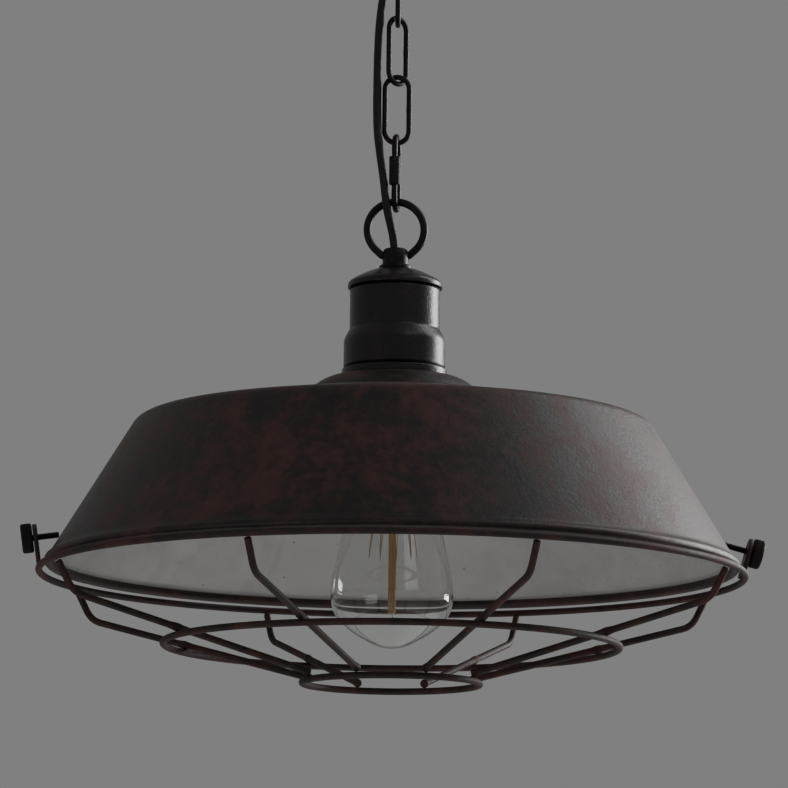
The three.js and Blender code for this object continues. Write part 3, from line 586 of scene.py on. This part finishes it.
def build_stage(stage):
    """Camera in front of the lamp, a pale floor, even surroundings and four soft boxes."""
    scene = bpy.context.scene
    lens = bpy.data.cameras.new("camera")
    lens.lens, lens.sensor_width = stage.lens, 36
    lens.clip_end = 50
    camera = bpy.data.objects.new("camera", lens)
    scene.collection.objects.link(camera)
    tilt = Matrix.Rotation(math.pi / 2 + stage.pitch, 4, "X")
    camera.matrix_world = (
        Matrix.Translation((0, -stage.distance, -stage.drop)) @ tilt @ Matrix.Rotation(stage.roll, 4, "Z")
    )
    scene.camera = camera

    world = bpy.data.worlds.new("surroundings")
    world.use_nodes = True
    backdrop = world.node_tree.nodes["Background"]
    backdrop.inputs["Color"].default_value = (stage.backdrop, stage.backdrop, stage.backdrop, 1)
    scene.world = world

    half = 30.0
    sheet = bpy.data.meshes.new("floor")
    corners = [(-half, -half), (half, -half), (half, half), (-half, half)]
    sheet.from_pydata([(x, y, -stage.floor_drop) for x, y in corners], [], [(0, 1, 2, 3)])
    floor = bpy.data.objects.new("floor", sheet)
    scene.collection.objects.link(floor)
    sheet.materials.append(moulded("pale floor", (0.66, 0.66, 0.65), 0.6, 0.04))

    target = Vector((0, 0, LAMP * MM + 0.06))
    boxes = [
        ("soft_box_side", (1.25, 0.85, -0.05), (0.45, 0.8), stage.side_light),
        ("soft_box_high", (1.2, 0.45, 0.85), (1.0, 1.0), stage.high_light),
        ("soft_box_front", (1.4, -1.5, 1.3), (1.2, 1.2), stage.fill_light),
        ("soft_box_low", (-1.1, -1.3, -1.0), (0.8, 0.8), 0.6 * stage.fill_light),
    ]
    for name, place, size, power in boxes:
        lamp = bpy.data.lights.new(name, "AREA")
        lamp.shape = "RECTANGLE"
        lamp.size, lamp.size_y = size
        lamp.energy = power
        light = bpy.data.objects.new(name, lamp)
        scene.collection.objects.link(light)
        light.location = place
        light.rotation_euler = (Vector(place) - target).to_track_quat("Z", "Y").to_euler()
        light.visible_camera = False


CORD_ROUTE = (
    (0, 0, -227.0),
    (0, -0.1, -222.5),
    (-0.6, -0.6, -217.0),
    (-1.6, -2.2, -210.5),
    (-3.2, -4.2, -204.0),
    (-4.7, -5.3, -197.5),
    (-5.6, -5.3, -190.5),
    (-6.7, -4.4, -181.0),
    (-8.4, -3.0, -169.0),
    (-10.0, -1.6, -156.0),
    (-10.5, -0.6, -142.0),
    (-10.5, 0.0, -127.0),
    (-10.3, 0.0, -112.0),
    (-9.7, -0.8, -98.0),
    (-8.2, -2.8, -84.5),
    (-6.3, -4.6, -74.5),
    (-4.9, -5.3, -67.0),
    (-3.5, -4.6, -60.0),
    (-1.8, -2.6, -53.0),
    (-0.6, -0.8, -46.0),
    (0, -0.1, -40.5),
    (0, 0, -36.0),
)


def build_cord(sizes):
    """The supply cord: a round jacket along a smooth line through the route, from the lamp's
    collar past the chain to the ceiling's collar. Inside the lamp's collar its end tapers, so
    that it stays clear when the lamp tilts."""
    radius = sizes.cord / MM
    path = through(CORD_ROUTE, 10)
    whole, radii = blunt(path, radius)
    radii = radii * np.interp(whole[:, 2], (CORD_ROUTE[0][2], CORD_ROUTE[1][2]), (0.6, 1))
    cord = skin("supply_cord_smooth", wire_rows(whole, radii, (1, 0, 0), 32))
    cord.data.materials.append(finish("rubber"))
    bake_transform(cord)
    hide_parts("supply_cord")


# ---- Ceiling fitting, rings and chain ----

# A collar's outline, its base at 0: a flange, a mouth flared round the cord, and the bore.
COLLAR_FLANGE = ((5.3, 0), (8.6, 0), (8.6, 1.6), (7.9, 2.2), (6.8, 2.4))
COLLAR_MOUTH = ((6.8, 8.4), (6.3, 10.3), (5.7, 11), (5.0, 11), (4.2, 10), (3.8, 8.6))
COLLAR_LINE = COLLAR_FLANGE + COLLAR_MOUTH + ((3.8, 3.2), (5.3, 3.2))


def build_ceiling(sizes):
    """The canopy, its cap nuts and the collar under it, all turned, and finishes for the
    bracket, studs, terminals, nipple and lock nut inside."""
    wall = sizes.sheet / MM
    radius, corner, hole, stud = 52, 12, 5.2, 38
    a = np.radians(np.linspace(0, 90, 13))
    bend = np.stack([radius - corner + corner * np.cos(a), -CANOPY_DEPTH + corner - corner * np.sin(a)], -1)
    outer = np.vstack([[[radius, -0.5]], bend, [[hole, -CANOPY_DEPTH]]])
    inner = offset(outer, wall)[::-1]
    dish = skin("canopy", turned(spread(np.vstack([outer, inner]), 3, True), 128), loop=True)
    fit(dish, "aged", "ceiling", "rust_brown", "ceiling_canopy")
    nut = ((0, -36.3), (3.6, -36.3), (5, -34.6), (5, -28.3), (2.4, -28.3), (2.4, -33.6), (0, -33.6))

    def knurl(r, z, a):
        """Fine ridges round the nut's outer wall."""
        return np.where(r > 4.7, -0.14 * (1 + np.cos(30 * a)), 0)

    for side, x in (("left", -stud), ("right", stud)):
        at = lambda rows, x=x: rows + np.array([x, 0, 0])
        piece = solid_of_turning("canopy_nut_%s_smooth" % side, nut, 0.4, at, 180, 1.0, knurl)
        fit(piece, "aged", "ceiling", "rust_brown", "canopy_nut_" + side)
    hung = lambda rows: placed(rows, (0, 0, CEILING_COLLAR_BASE), z=(0, 0, -1))
    collar = solid_of_turning("ceiling_collar_smooth", COLLAR_LINE, 0.35, hung, 96, 1.2)
    fit(collar, "blackened", "ceiling", "black_steel", "ceiling_collar")
    dress("zinc", "mounting_bracket", "canopy_stud_left", "canopy_stud_right")
    dress("zinc", "ceiling_nipple", "ceiling_lock_nut")
    dress("nylon", "terminal_block")
    dress("brass", "terminal_screw_1", "terminal_screw_2", "terminal_screw_3")


def build_rings(sizes):
    """The two open rings: a bar bent three quarters round, its ends turned in to make the
    stubs that pivot in a collar."""
    wire = sizes.ring_wire / MM
    radius, drop = 15, 13.8
    start = math.acos(9.6 / radius)
    a = np.linspace(-start, math.pi + start, 41)
    arc = np.stack([radius * np.cos(a), 0 * a, radius * np.sin(a)], -1)
    right = np.array([[4.5, 0, -drop], [5.6, 0, -drop], [7, 0, -drop]])
    route = np.vstack([right, arc, (right * [-1, 1, 1])[::-1]])
    path, radii = blunt(through(route, 4), wire)
    rows = wire_rows(path, radii, (0, 1, 0), 28)
    up = skin("lamp_ring_smooth", rows + np.array([0, 0, top_of("lamp_ring") - wire - radius]))
    fit(up, "blackened", "chain", "black_steel", "lamp_ring")
    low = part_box("ceiling_ring")[0].z / MM + wire + radius
    down = skin("ceiling_ring_smooth", placed(rows, (0, 0, low), z=(0, 0, -1)))
    fit(down, "blackened", "ceiling_ring", "black_steel", "ceiling_ring")


def link_path(span, width, wire, gap=None):
    """The middle line of a long link in the XZ plane, its upper end at the origin: two straight
    sides and two half circles. With a gap (low, high) it starts and ends at the break."""
    bend = width / 2 - wire
    side = span - 2 * wire - 2 * bend
    a = np.linspace(0, math.pi, 25)
    top = np.stack([bend * np.cos(a), 0 * a, -bend + bend * np.sin(a)], -1)
    bottom = np.stack([-bend * np.cos(a), 0 * a, -bend - side - bend * np.sin(a)], -1)
    if gap is None:
        return spread(np.vstack([top, bottom]), 1.2, True)
    low, high = gap
    ends = [[[-bend, 0, low]], bottom, top, [[-bend, 0, high]]]
    return spread(np.vstack(ends), 0.8, False)


def build_chain(sizes):
    """Three long welded links, each turned against the one above, with a slight swelling where
    one side was welded."""
    wire = sizes.link_wire / MM
    span, width = 38.5, 15.6
    weld = np.array([6.4, 0, -17.85])
    path = link_path(span, width, wire)
    away = np.linalg.norm(path - weld, axis=1)
    for number, turn in ((1, 90), (2, 45), (3, 0)):
        node = "chain_link_%d" % number
        radii = wire + 0.16 * np.exp(-((away / 1.3) ** 2))
        rows = wire_rows(path, radii, (0, 1, 0), 24, loop=True)
        a = math.radians(turn)
        spot = (0, 0, top_of(node) - wire)
        rows = placed(rows, spot, x=(math.cos(a), math.sin(a), 0))
        fit(skin(node + "_smooth", rows, loop=True), "blackened", "chain", "black_steel", node)


def build_screw_link(sizes):
    """The screw link, an open loop threaded beside its break, and the long six-sided nut that
    covers it."""
    wire = sizes.screw_link_wire / MM
    a = math.radians(82)
    spot = (0, 0, top_of("quick_link") - wire)
    x = (math.cos(a), math.sin(a), 0)
    span, width, gap = 42.3, 17, (-17.1, -13.6)
    path, radii = blunt(link_path(span, width, wire, gap), wire)
    near = (path[:, 0] < -6.9) & (path[:, 2] > -31) & (path[:, 2] < -8)
    pitch = 0.8
    radii = radii - np.where(near, 0.12 * (1 + np.cos(2 * math.pi * path[:, 2] / pitch)), 0)
    link = skin("quick_link_smooth", placed(wire_rows(path, radii, (0, 1, 0), 24), spot, x))
    fit(link, "blackened", "chain", "black_steel", "quick_link")
    corner = turns(6)[:, None]
    reach, nut_length, bore = 3.1, 15, wire + 0.3
    hexagon = reach * np.hstack([np.cos(corner), np.sin(corner)])
    rows = plate_rows(soften(hexagon, 0.35, True, 0.4), bore, nut_length, 0.4)
    seat = np.array([-6.95, 0, -19.6])
    rows = placed(rows + seat, spot, x)
    nut = skin("quick_link_nut_smooth", rows, loop=True)
    fit(nut, "blackened", "quick_link_nut", "black_steel", "quick_link_nut")


# ---- Lamp body ----


LAMP_COLLAR_BASE = 162.3


def build_cap(sizes):
    """The lamp's collar, domed cap, stepped sleeve and base ring, all turned."""
    wall = sizes.sheet / MM
    above = lambda rows: lifted(rows, LAMP + LAMP_COLLAR_BASE)
    collar = solid_of_turning("lamp_collar_smooth", COLLAR_LINE, 0.35, above, 96, 1.2)
    fit(collar, "blackened", "lamp", "black_steel", "lamp_collar")
    crown = ((5.2, 162), (10.6, 161.8), (14.6, 160.6), (18.6, 158.7))
    brim = ((22, 156.9), (24, 155.5), (24.8, 154.3), (24.9, 152.2))
    dome = sheet_of_turning("cap_dome_smooth", through(crown + brim, 5), wall)
    fit(dome, "aged cap", "lamp", "rust_brown", "cap_dome")
    sleeve = ((23.7, 151.9), (23.7, 129.9), (24.5, 128.8), (26.2, 125.2), (26.7, 123.6), (26.7, 108.9))
    sleeve = sheet_of_turning("cap_sleeve_smooth", soften(sleeve, 1.0, False, 2.0), wall)
    fit(sleeve, "aged cap", "lamp", "rust_brown", "cap_sleeve")
    ring = ((20, 104.6), (27.6, 104.6), (27.6, 108.6), (20, 108.6))
    ring = solid_of_turning("cap_base_ring_smooth", ring, 0.5, lifted, 160, 2.0)
    fit(ring, "aged cap", "lamp", "rust_brown", "cap_base_ring")


RIM_RADIUS = 183
CONE = 0.608


def on_cone(height):
    """The point (r, z) of the shade's straight cone at a height."""
    return np.array([RIM_RADIUS - CONE * height, height])


def shade_line():
    """The shade's outer line from its neck to its shoulder, as (r, z) points: a crowned boss, a
    slope of 10 degrees, and a rounded shoulder that ends along the straight cone, which widens
    by 0.608 for each unit that it drops."""
    top, shoulder_height, slope = 104.3, 79.3, math.radians(10)
    neck, flat, boss_width, boss_drop = 20, 29, 17, 9
    share = np.linspace(0, 1, 9)[1:]
    fall = boss_drop * (0.95 * share**2 + 0.05 * share**6)
    boss = np.stack([flat + boss_width * share, top - fall], -1)
    corner = on_cone(shoulder_height)
    steep = math.atan2(1, CONE)
    fillet = 8
    reach = fillet * math.tan((steep - slope) / 2)
    centre = corner + reach * np.array([-math.cos(slope), math.sin(slope)])
    centre -= fillet * np.array([math.sin(slope), math.cos(slope)])
    a = np.linspace(slope, steep, 12)
    shoulder = centre + fillet * np.stack([np.sin(a), np.cos(a)], -1)
    return np.vstack([[[neck, top], [flat, top]], boss, shoulder])


def build_shade(sizes):
    """The shade: one sheet of steel, its outer line carried round the rolled bead and back up
    inside, with the inner faces marked for their enamel. The sheet waves in and out by up to
    0.09 mm, as spun steel does."""
    wall, wire = sizes.sheet / MM, sizes.bead / MM
    bead, crease_height = np.array([178.2, 4.9]), 7.489
    outer = np.vstack([shade_line(), on_cone(crease_height)])
    inner = offset(outer, wall)[:-1][::-1]
    a = np.radians(np.linspace(84.6, 113.4 - 360, 30))
    roll = bead + wire * np.stack([np.cos(a), np.sin(a)], -1)
    flat = spread(np.vstack([outer[:-1], roll[:1]]), 2.5, False)
    back = spread(np.vstack([roll[-1:], inner]), 2.5, False)
    outline = np.vstack([flat[:-1], roll, back[1:]])
    mark = np.zeros(len(outline))
    mark[len(flat) + len(roll) - 3 :] = 1

    def wave(r, z, a):
        """Two shallow waves that run round the shade and lean as they rise."""
        return 0.05 * np.sin(3 * a + z / 19) + 0.04 * np.sin(7 * a - r / 23)

    rows = lifted(turned(outline, 256, wave))
    fit(skin("shade_smooth", rows, loop=True, mark=mark), "enamelled", "lamp", "rust_brown", "shade")


def build_lampholder():
    """The holder's body and the ring that clamps the shade to it, both turned, the ring with
    a ribbed grip, and finishes for the metal and porcelain inside."""
    body = ((14.8, 84), (19.6, 84), (19.6, 108.9), (22, 108.9), (22, 140))
    body = body + ((16, 146), (5.3, 146), (5.3, 142), (14.8, 142))
    piece = solid_of_turning("lampholder_smooth", body, 0.5, lifted, 96, 2.0)
    fit(piece, "bakelite", "lamp", "black_moulding", "lampholder_body")
    ring = ((20, 94.8), (27, 94.8), (27, 102.8), (20, 102.8))

    def grip(r, z, a):
        """Rounded ribs on the ring's outer wall."""
        return np.where(r > 26.3, -0.35 * (1 + np.cos(36 * a)), 0)

    piece = solid_of_turning("shade_ring_smooth", ring, 0.7, lifted, 288, 2.0, grip)
    fit(piece, "bakelite", "lamp", "black_moulding", "shade_retaining_ring")
    dress("brass", "lampholder_shell", "lampholder_contact")
    dress("porcelain", "lampholder_insert")
    dress("zinc", "lamp_nipple", "lamp_lock_nut")


# ---- Bulb ----

GLASS_TIP = -38
GLASS_LINE = (
    (12, 79.6),
    (12, 76),
    (12.2, 73),
    (14, 68.5),
    (19.56, 49.8),
    (24.69, 29.5),
    (28.98, 9.3),
    (31.2, -1.5),
    (32, -11),
    (30.7, -18.2),
    (27.5, -23.6),
    (22.4, -28.2),
    (16.6, -32),
    (11.4, -34.9),
    (8.2, -36.4),
    (5, -37.5),
    (0, GLASS_TIP),
)


def build_bulb(sizes):
    """The bulb: pear-shaped glass of even thickness with a flattened nose, a base whose rolled
    thread is a sine wave that climbs 3.62 mm for each turn, the stem with its pinch, and the
    amber bar with the wires that hold it."""
    wall = sizes.glass / MM
    outer = through(GLASS_LINE, 6)[::-1]
    inner = offset(outer, -wall)[::-1]
    rows = lifted(turned(np.vstack([outer[1:], inner[:-1]]), 128))
    poles = tuple(lifted(np.array([0, 0, z])) for z in (GLASS_TIP, GLASS_TIP + wall))
    glass = skin("bulb_glass_smooth", rows, poles=poles)
    fit(glass, "glass", "bulb", "clear_glass", "bulb_glass")

    low, high, pitch = 76, 94, 3.62

    def thread(r, z, a):
        """A rounded thread rolled into both walls, fading out over 2 mm at its ends."""
        fade = np.clip((z - low) / 2, 0, 1) * np.clip((high - z) / 2, 0, 1)
        return -0.55 * fade * (1 + np.cos(2 * math.pi * z / pitch + a)) * (r > 11)

    base = ((12.4, 73.6), (13.2, 73.6), (13.2, 94.6), (10.4, 97.6), (9, 97.6), (11.2, 94))
    piece = solid_of_turning("bulb_base_smooth", base, 0.4, lifted, 96, 0.4, thread)
    fit(piece, "aluminium", "bulb", "bulb_aluminium", "bulb_base")
    stem = ((0, 77.6), (10.6, 77.6), (10.6, 76), (5, 70.5), (3.2, 66), (2.6, 60), (1.9, 58), (0, 57.6))
    piece = solid_of_turning("bulb_stem_smooth", stem, 1.2, lifted, 64, 1.0)
    fit(piece, "glass", "bulb", "clear_glass", "bulb_stem")
    bar = ((0, 57), (1.4, 57), (2, 55.5), (2, -18.2), (1.4, -20), (0, -20))
    piece = solid_of_turning("filament_bar", bar, 0.6, lifted, 40, 2.0)
    fit(piece, "amber", "bulb", "amber_filament", "filament")
    count = 9
    a = np.repeat(turns(count), 2) + np.tile([0, math.pi / count], count)
    r, z = np.tile([13, 7], count), np.tile([9, 60], count)
    zigzag = np.stack([r * np.cos(a), r * np.sin(a), z], -1)
    zigzag = soften(zigzag, 0.7, True, 6.0, 6)
    rows = lifted(wire_rows(zigzag, 0.16, (0.31, 0.17, 0.02), 6, loop=True))
    fit(skin("filament_cage", rows, loop=True), "amber", "bulb", "amber_filament")
    hook = through([(0.4, 0, -19.5), (0.9, 0, -22.5), (2.2, 0, -25), (4.2, 0, -25.4), (5.4, 0, -23.6)], 8)
    path, radii = blunt(hook, 0.35)
    hook = skin("filament_hook", lifted(wire_rows(path, radii, (0, 1, 0), 12)))
    fit(hook, "zinc", "bulb", "amber_filament")
    dress("solder", "bulb_tip")
    dress("black glass", "bulb_insulator")


# ---- Guard and thumb screws ----

GUARD_TOP, GUARD_MIDDLE, GUARD_BOTTOM = 183.4, 118.5, 46.1
GUARD_KNEE = 174
RIB_SLOPE = 0.268
RIB_GAP = 0.3
BOTTOM_HEIGHT = -56.1


def build_guard(sizes):
    """The guard: three rings of wire and eight ribs. A rib drops from under the top ring, bends
    in over a short curve and runs at a shallow slope over the other two rings, swelling in a
    bell curve where it is welded to each."""
    wire = sizes.guard_wire / MM
    over = (2 * wire + RIB_GAP) * math.hypot(1, RIB_SLOPE)
    rings = (
        ("top", GUARD_TOP, 0, 320),
        ("middle", GUARD_MIDDLE, BOTTOM_HEIGHT + RIB_SLOPE * (GUARD_MIDDLE - GUARD_BOTTOM), 240),
        ("bottom", GUARD_BOTTOM, BOTTOM_HEIGHT, 128),
    )
    for name, radius, height, steps in rings:
        a = turns(steps)
        path = np.stack([radius * np.cos(a), radius * np.sin(a), np.full(steps, height)], -1)
        rows = lifted(wire_rows(path, wire, (0, 0, 1), 20, loop=True))
        ring = skin("guard_%s_ring_smooth" % name, rows, loop=True)
        fit(ring, "aged wire", "lamp", "rust_brown", "guard_%s_ring" % name)

    def level(r):
        """The height of a rib's sloping stretch at a distance from the axis."""
        return BOTTOM_HEIGHT + over + RIB_SLOPE * (r - GUARD_BOTTOM)

    start = np.array([GUARD_TOP - 1, 0, -wire - RIB_GAP])
    knee = np.array([GUARD_KNEE, 0, level(GUARD_KNEE)])
    end = np.array([GUARD_BOTTOM - 1, 0, level(GUARD_BOTTOM - 1)])
    path, radii = blunt(soften([start, knee, end], 6, False, 1.5, 12), wire)
    for radius in (GUARD_MIDDLE, GUARD_BOTTOM):
        radii = radii + 0.45 * np.exp(-(((path[:, 0] - radius) / 2.4) ** 2))
    rows = wire_rows(path, radii, (0, 1, 0), 20)
    for number in range(8):
        a = math.radians(22.5 + 45 * number)
        node = "guard_rib_%d" % (number + 1)
        rib = skin(node + "_smooth", lifted(placed(rows, x=(math.cos(a), math.sin(a), 0))))
        fit(rib, "aged wire", "lamp", "rust_brown", node)


def build_thumb_screws():
    """On each side a leaning lug with a round top and a hole, and a thumb screw through it: a
    threaded shank whose radius is a triangle wave climbing 0.7 mm a turn, and a knurled knob."""
    half_width, hole_height, pitch = 7, 14, 0.7
    s = np.linspace(0, math.pi, 25)
    crown = np.stack([half_width * np.cos(s), half_width * np.sin(s)], -1)
    foot_line = [(-half_width, -hole_height), (half_width, -hole_height)]
    plate = plate_rows(spread(np.vstack([foot_line, crown]), 1.0, True), 2.0, 2.4)
    knob_line = ((0, 5.5), (2, 5.5), (2, 1.5), (6.9, 1.5), (7.7, 2.4))
    knob_line = knob_line + ((7.7, 6.6), (6.9, 7.5), (4.6, 7.5), (4.2, 7.1), (0, 7.1))

    def thread(r, z, a):
        """A fine thread: a triangle wave of the height and the turn together."""
        turn = z / pitch - a / (2 * math.pi)
        return -0.3 * np.abs(2 * (turn - np.floor(turn)) - 1) * (r > 1.5)

    def knurl(r, z, a):
        """Straight knurling on the knob's rim."""
        return np.where(r > 7.2, -0.2 * (1 + np.cos(44 * a)), 0)

    for side, azimuth, lean, tip in (("left", 184, 8, -12.14), ("right", 4, 15, -15.39)):
        a, b = math.radians(azimuth), math.radians(lean)
        out = np.array([math.cos(a) * math.cos(b), math.sin(a) * math.cos(b), -math.sin(b)])
        up = np.array([math.cos(a) * math.sin(b), math.sin(a) * math.sin(b), math.cos(b)])
        foot = np.array([GUARD_TOP * math.cos(a), GUARD_TOP * math.sin(a), LAMP + 2.7])
        hole = foot + hole_height * up
        lug = placed(plate, hole, x=np.cross(up, out), z=out)
        lug = skin("guard_lug_%s_smooth" % side, lug, loop=True)
        fit(lug, "aged", "lamp", "rust_brown", "guard_lug_" + side)
        at = lambda rows, hole=hole, up=up, out=out: placed(rows, hole, x=up, z=out)
        shank = ((0, tip), (1.1, tip), (1.7, tip + 0.6), (1.7, 5.2), (0, 5.2))
        shank = solid_of_turning("thumb_shank_%s_smooth" % side, shank, 0.2, at, 32, 0.1, thread)
        fit(shank, "blackened", "screw_" + side, "black_steel", "thumb_screw_shank_" + side)
        knob = solid_of_turning("thumb_knob_%s_smooth" % side, knob_line, 0.35, at, 264, 0.8, knurl)
        fit(knob, "blackened", "knob_" + side, "black_steel", "thumb_screw_knob_" + side)


# ---- Add-on ----


class PENDANT_OT_stage(bpy.types.Operator):
    """Makes the camera, floor, surroundings and lights"""

    bl_idname = "pendant.stage"
    bl_label = "Stage"

    def execute(self, context):
        build_stage(context.scene.pendant_stage)
        return {"FINISHED"}


class PENDANT_OT_cord(bpy.types.Operator):
    """Makes the supply cord from the lamp to the ceiling"""

    bl_idname = "pendant.cord"
    bl_label = "Supply Cord"

    def execute(self, context):
        build_cord(context.scene.pendant_sizes)
        return {"FINISHED"}


class PENDANT_OT_ceiling(bpy.types.Operator):
    """Makes the canopy, its nuts and collar, and finishes what is inside it"""

    bl_idname = "pendant.ceiling"
    bl_label = "Ceiling Fitting"

    def execute(self, context):
        build_ceiling(context.scene.pendant_sizes)
        return {"FINISHED"}


class PENDANT_OT_rings(bpy.types.Operator):
    """Makes the two open rings that pivot in the collars"""

    bl_idname = "pendant.rings"
    bl_label = "Rings"

    def execute(self, context):
        build_rings(context.scene.pendant_sizes)
        return {"FINISHED"}


class PENDANT_OT_chain(bpy.types.Operator):
    """Makes the three welded links"""

    bl_idname = "pendant.chain"
    bl_label = "Chain"

    def execute(self, context):
        build_chain(context.scene.pendant_sizes)
        return {"FINISHED"}


class PENDANT_OT_screw_link(bpy.types.Operator):
    """Makes the screw link and its nut"""

    bl_idname = "pendant.screw_link"
    bl_label = "Screw Link"

    def execute(self, context):
        build_screw_link(context.scene.pendant_sizes)
        return {"FINISHED"}


class PENDANT_OT_cap(bpy.types.Operator):
    """Makes the lamp's collar, domed cap, sleeve and base ring"""

    bl_idname = "pendant.cap"
    bl_label = "Cap"

    def execute(self, context):
        build_cap(context.scene.pendant_sizes)
        return {"FINISHED"}


class PENDANT_OT_shade(bpy.types.Operator):
    """Makes the shade, enamelled inside"""

    bl_idname = "pendant.shade"
    bl_label = "Shade"

    def execute(self, context):
        build_shade(context.scene.pendant_sizes)
        return {"FINISHED"}


class PENDANT_OT_lampholder(bpy.types.Operator):
    """Makes the lampholder and the ring that clamps the shade"""

    bl_idname = "pendant.lampholder"
    bl_label = "Lampholder"

    def execute(self, context):
        build_lampholder()
        return {"FINISHED"}


class PENDANT_OT_bulb(bpy.types.Operator):
    """Makes the bulb's glass, base, stem and filament"""

    bl_idname = "pendant.bulb"
    bl_label = "Bulb"

    def execute(self, context):
        build_bulb(context.scene.pendant_sizes)
        return {"FINISHED"}


class PENDANT_OT_guard(bpy.types.Operator):
    """Makes the guard's rings and ribs"""

    bl_idname = "pendant.guard"
    bl_label = "Guard"

    def execute(self, context):
        build_guard(context.scene.pendant_sizes)
        return {"FINISHED"}


class PENDANT_OT_thumb_screws(bpy.types.Operator):
    """Makes the lugs and the thumb screws that hold the guard on"""

    bl_idname = "pendant.thumb_screws"
    bl_label = "Thumb Screws"

    def execute(self, context):
        build_thumb_screws()
        return {"FINISHED"}


OPERATORS = (
    PENDANT_OT_stage,
    PENDANT_OT_cord,
    PENDANT_OT_ceiling,
    PENDANT_OT_rings,
    PENDANT_OT_chain,
    PENDANT_OT_screw_link,
    PENDANT_OT_cap,
    PENDANT_OT_shade,
    PENDANT_OT_lampholder,
    PENDANT_OT_bulb,
    PENDANT_OT_guard,
    PENDANT_OT_thumb_screws,
)
GROUPS = {
    "pendant_sizes": PendantSizes,
    "pendant_finish": PendantFinish,
    "pendant_stage": PendantStage,
}


class PENDANT_PT_panel(bpy.types.Panel):
    """Lists the settings, and the operators in the order in which they are run"""

    bl_label = "Pendant Light"
    bl_idname = "PENDANT_PT_panel"
    bl_space_type = "VIEW_3D"
    bl_region_type = "UI"
    bl_category = "Pendant"

    def draw(self, context):
        column = self.layout.column()
        for name, group in GROUPS.items():
            column.label(text=group.__doc__)
            for key in group.__annotations__:
                column.prop(getattr(context.scene, name), key)
        for operator in OPERATORS:
            column.operator(operator.bl_idname)


def register():
    for group in (*GROUPS.values(), *OPERATORS, PENDANT_PT_panel):
        bpy.utils.register_class(group)
    for name, group in GROUPS.items():
        setattr(bpy.types.Scene, name, PointerProperty(type=group))


def unregister():
    for name in GROUPS:
        delattr(bpy.types.Scene, name)
    for group in (PENDANT_PT_panel, *reversed(OPERATORS), *GROUPS.values()):
        bpy.utils.unregister_class(group)


def main():
    """Registers the add-on and builds every piece."""
    register()
    for operator in OPERATORS:
        family, name = operator.bl_idname.split(".")
        getattr(getattr(bpy.ops, family), name)()


if __name__ == "__main__":
    main()
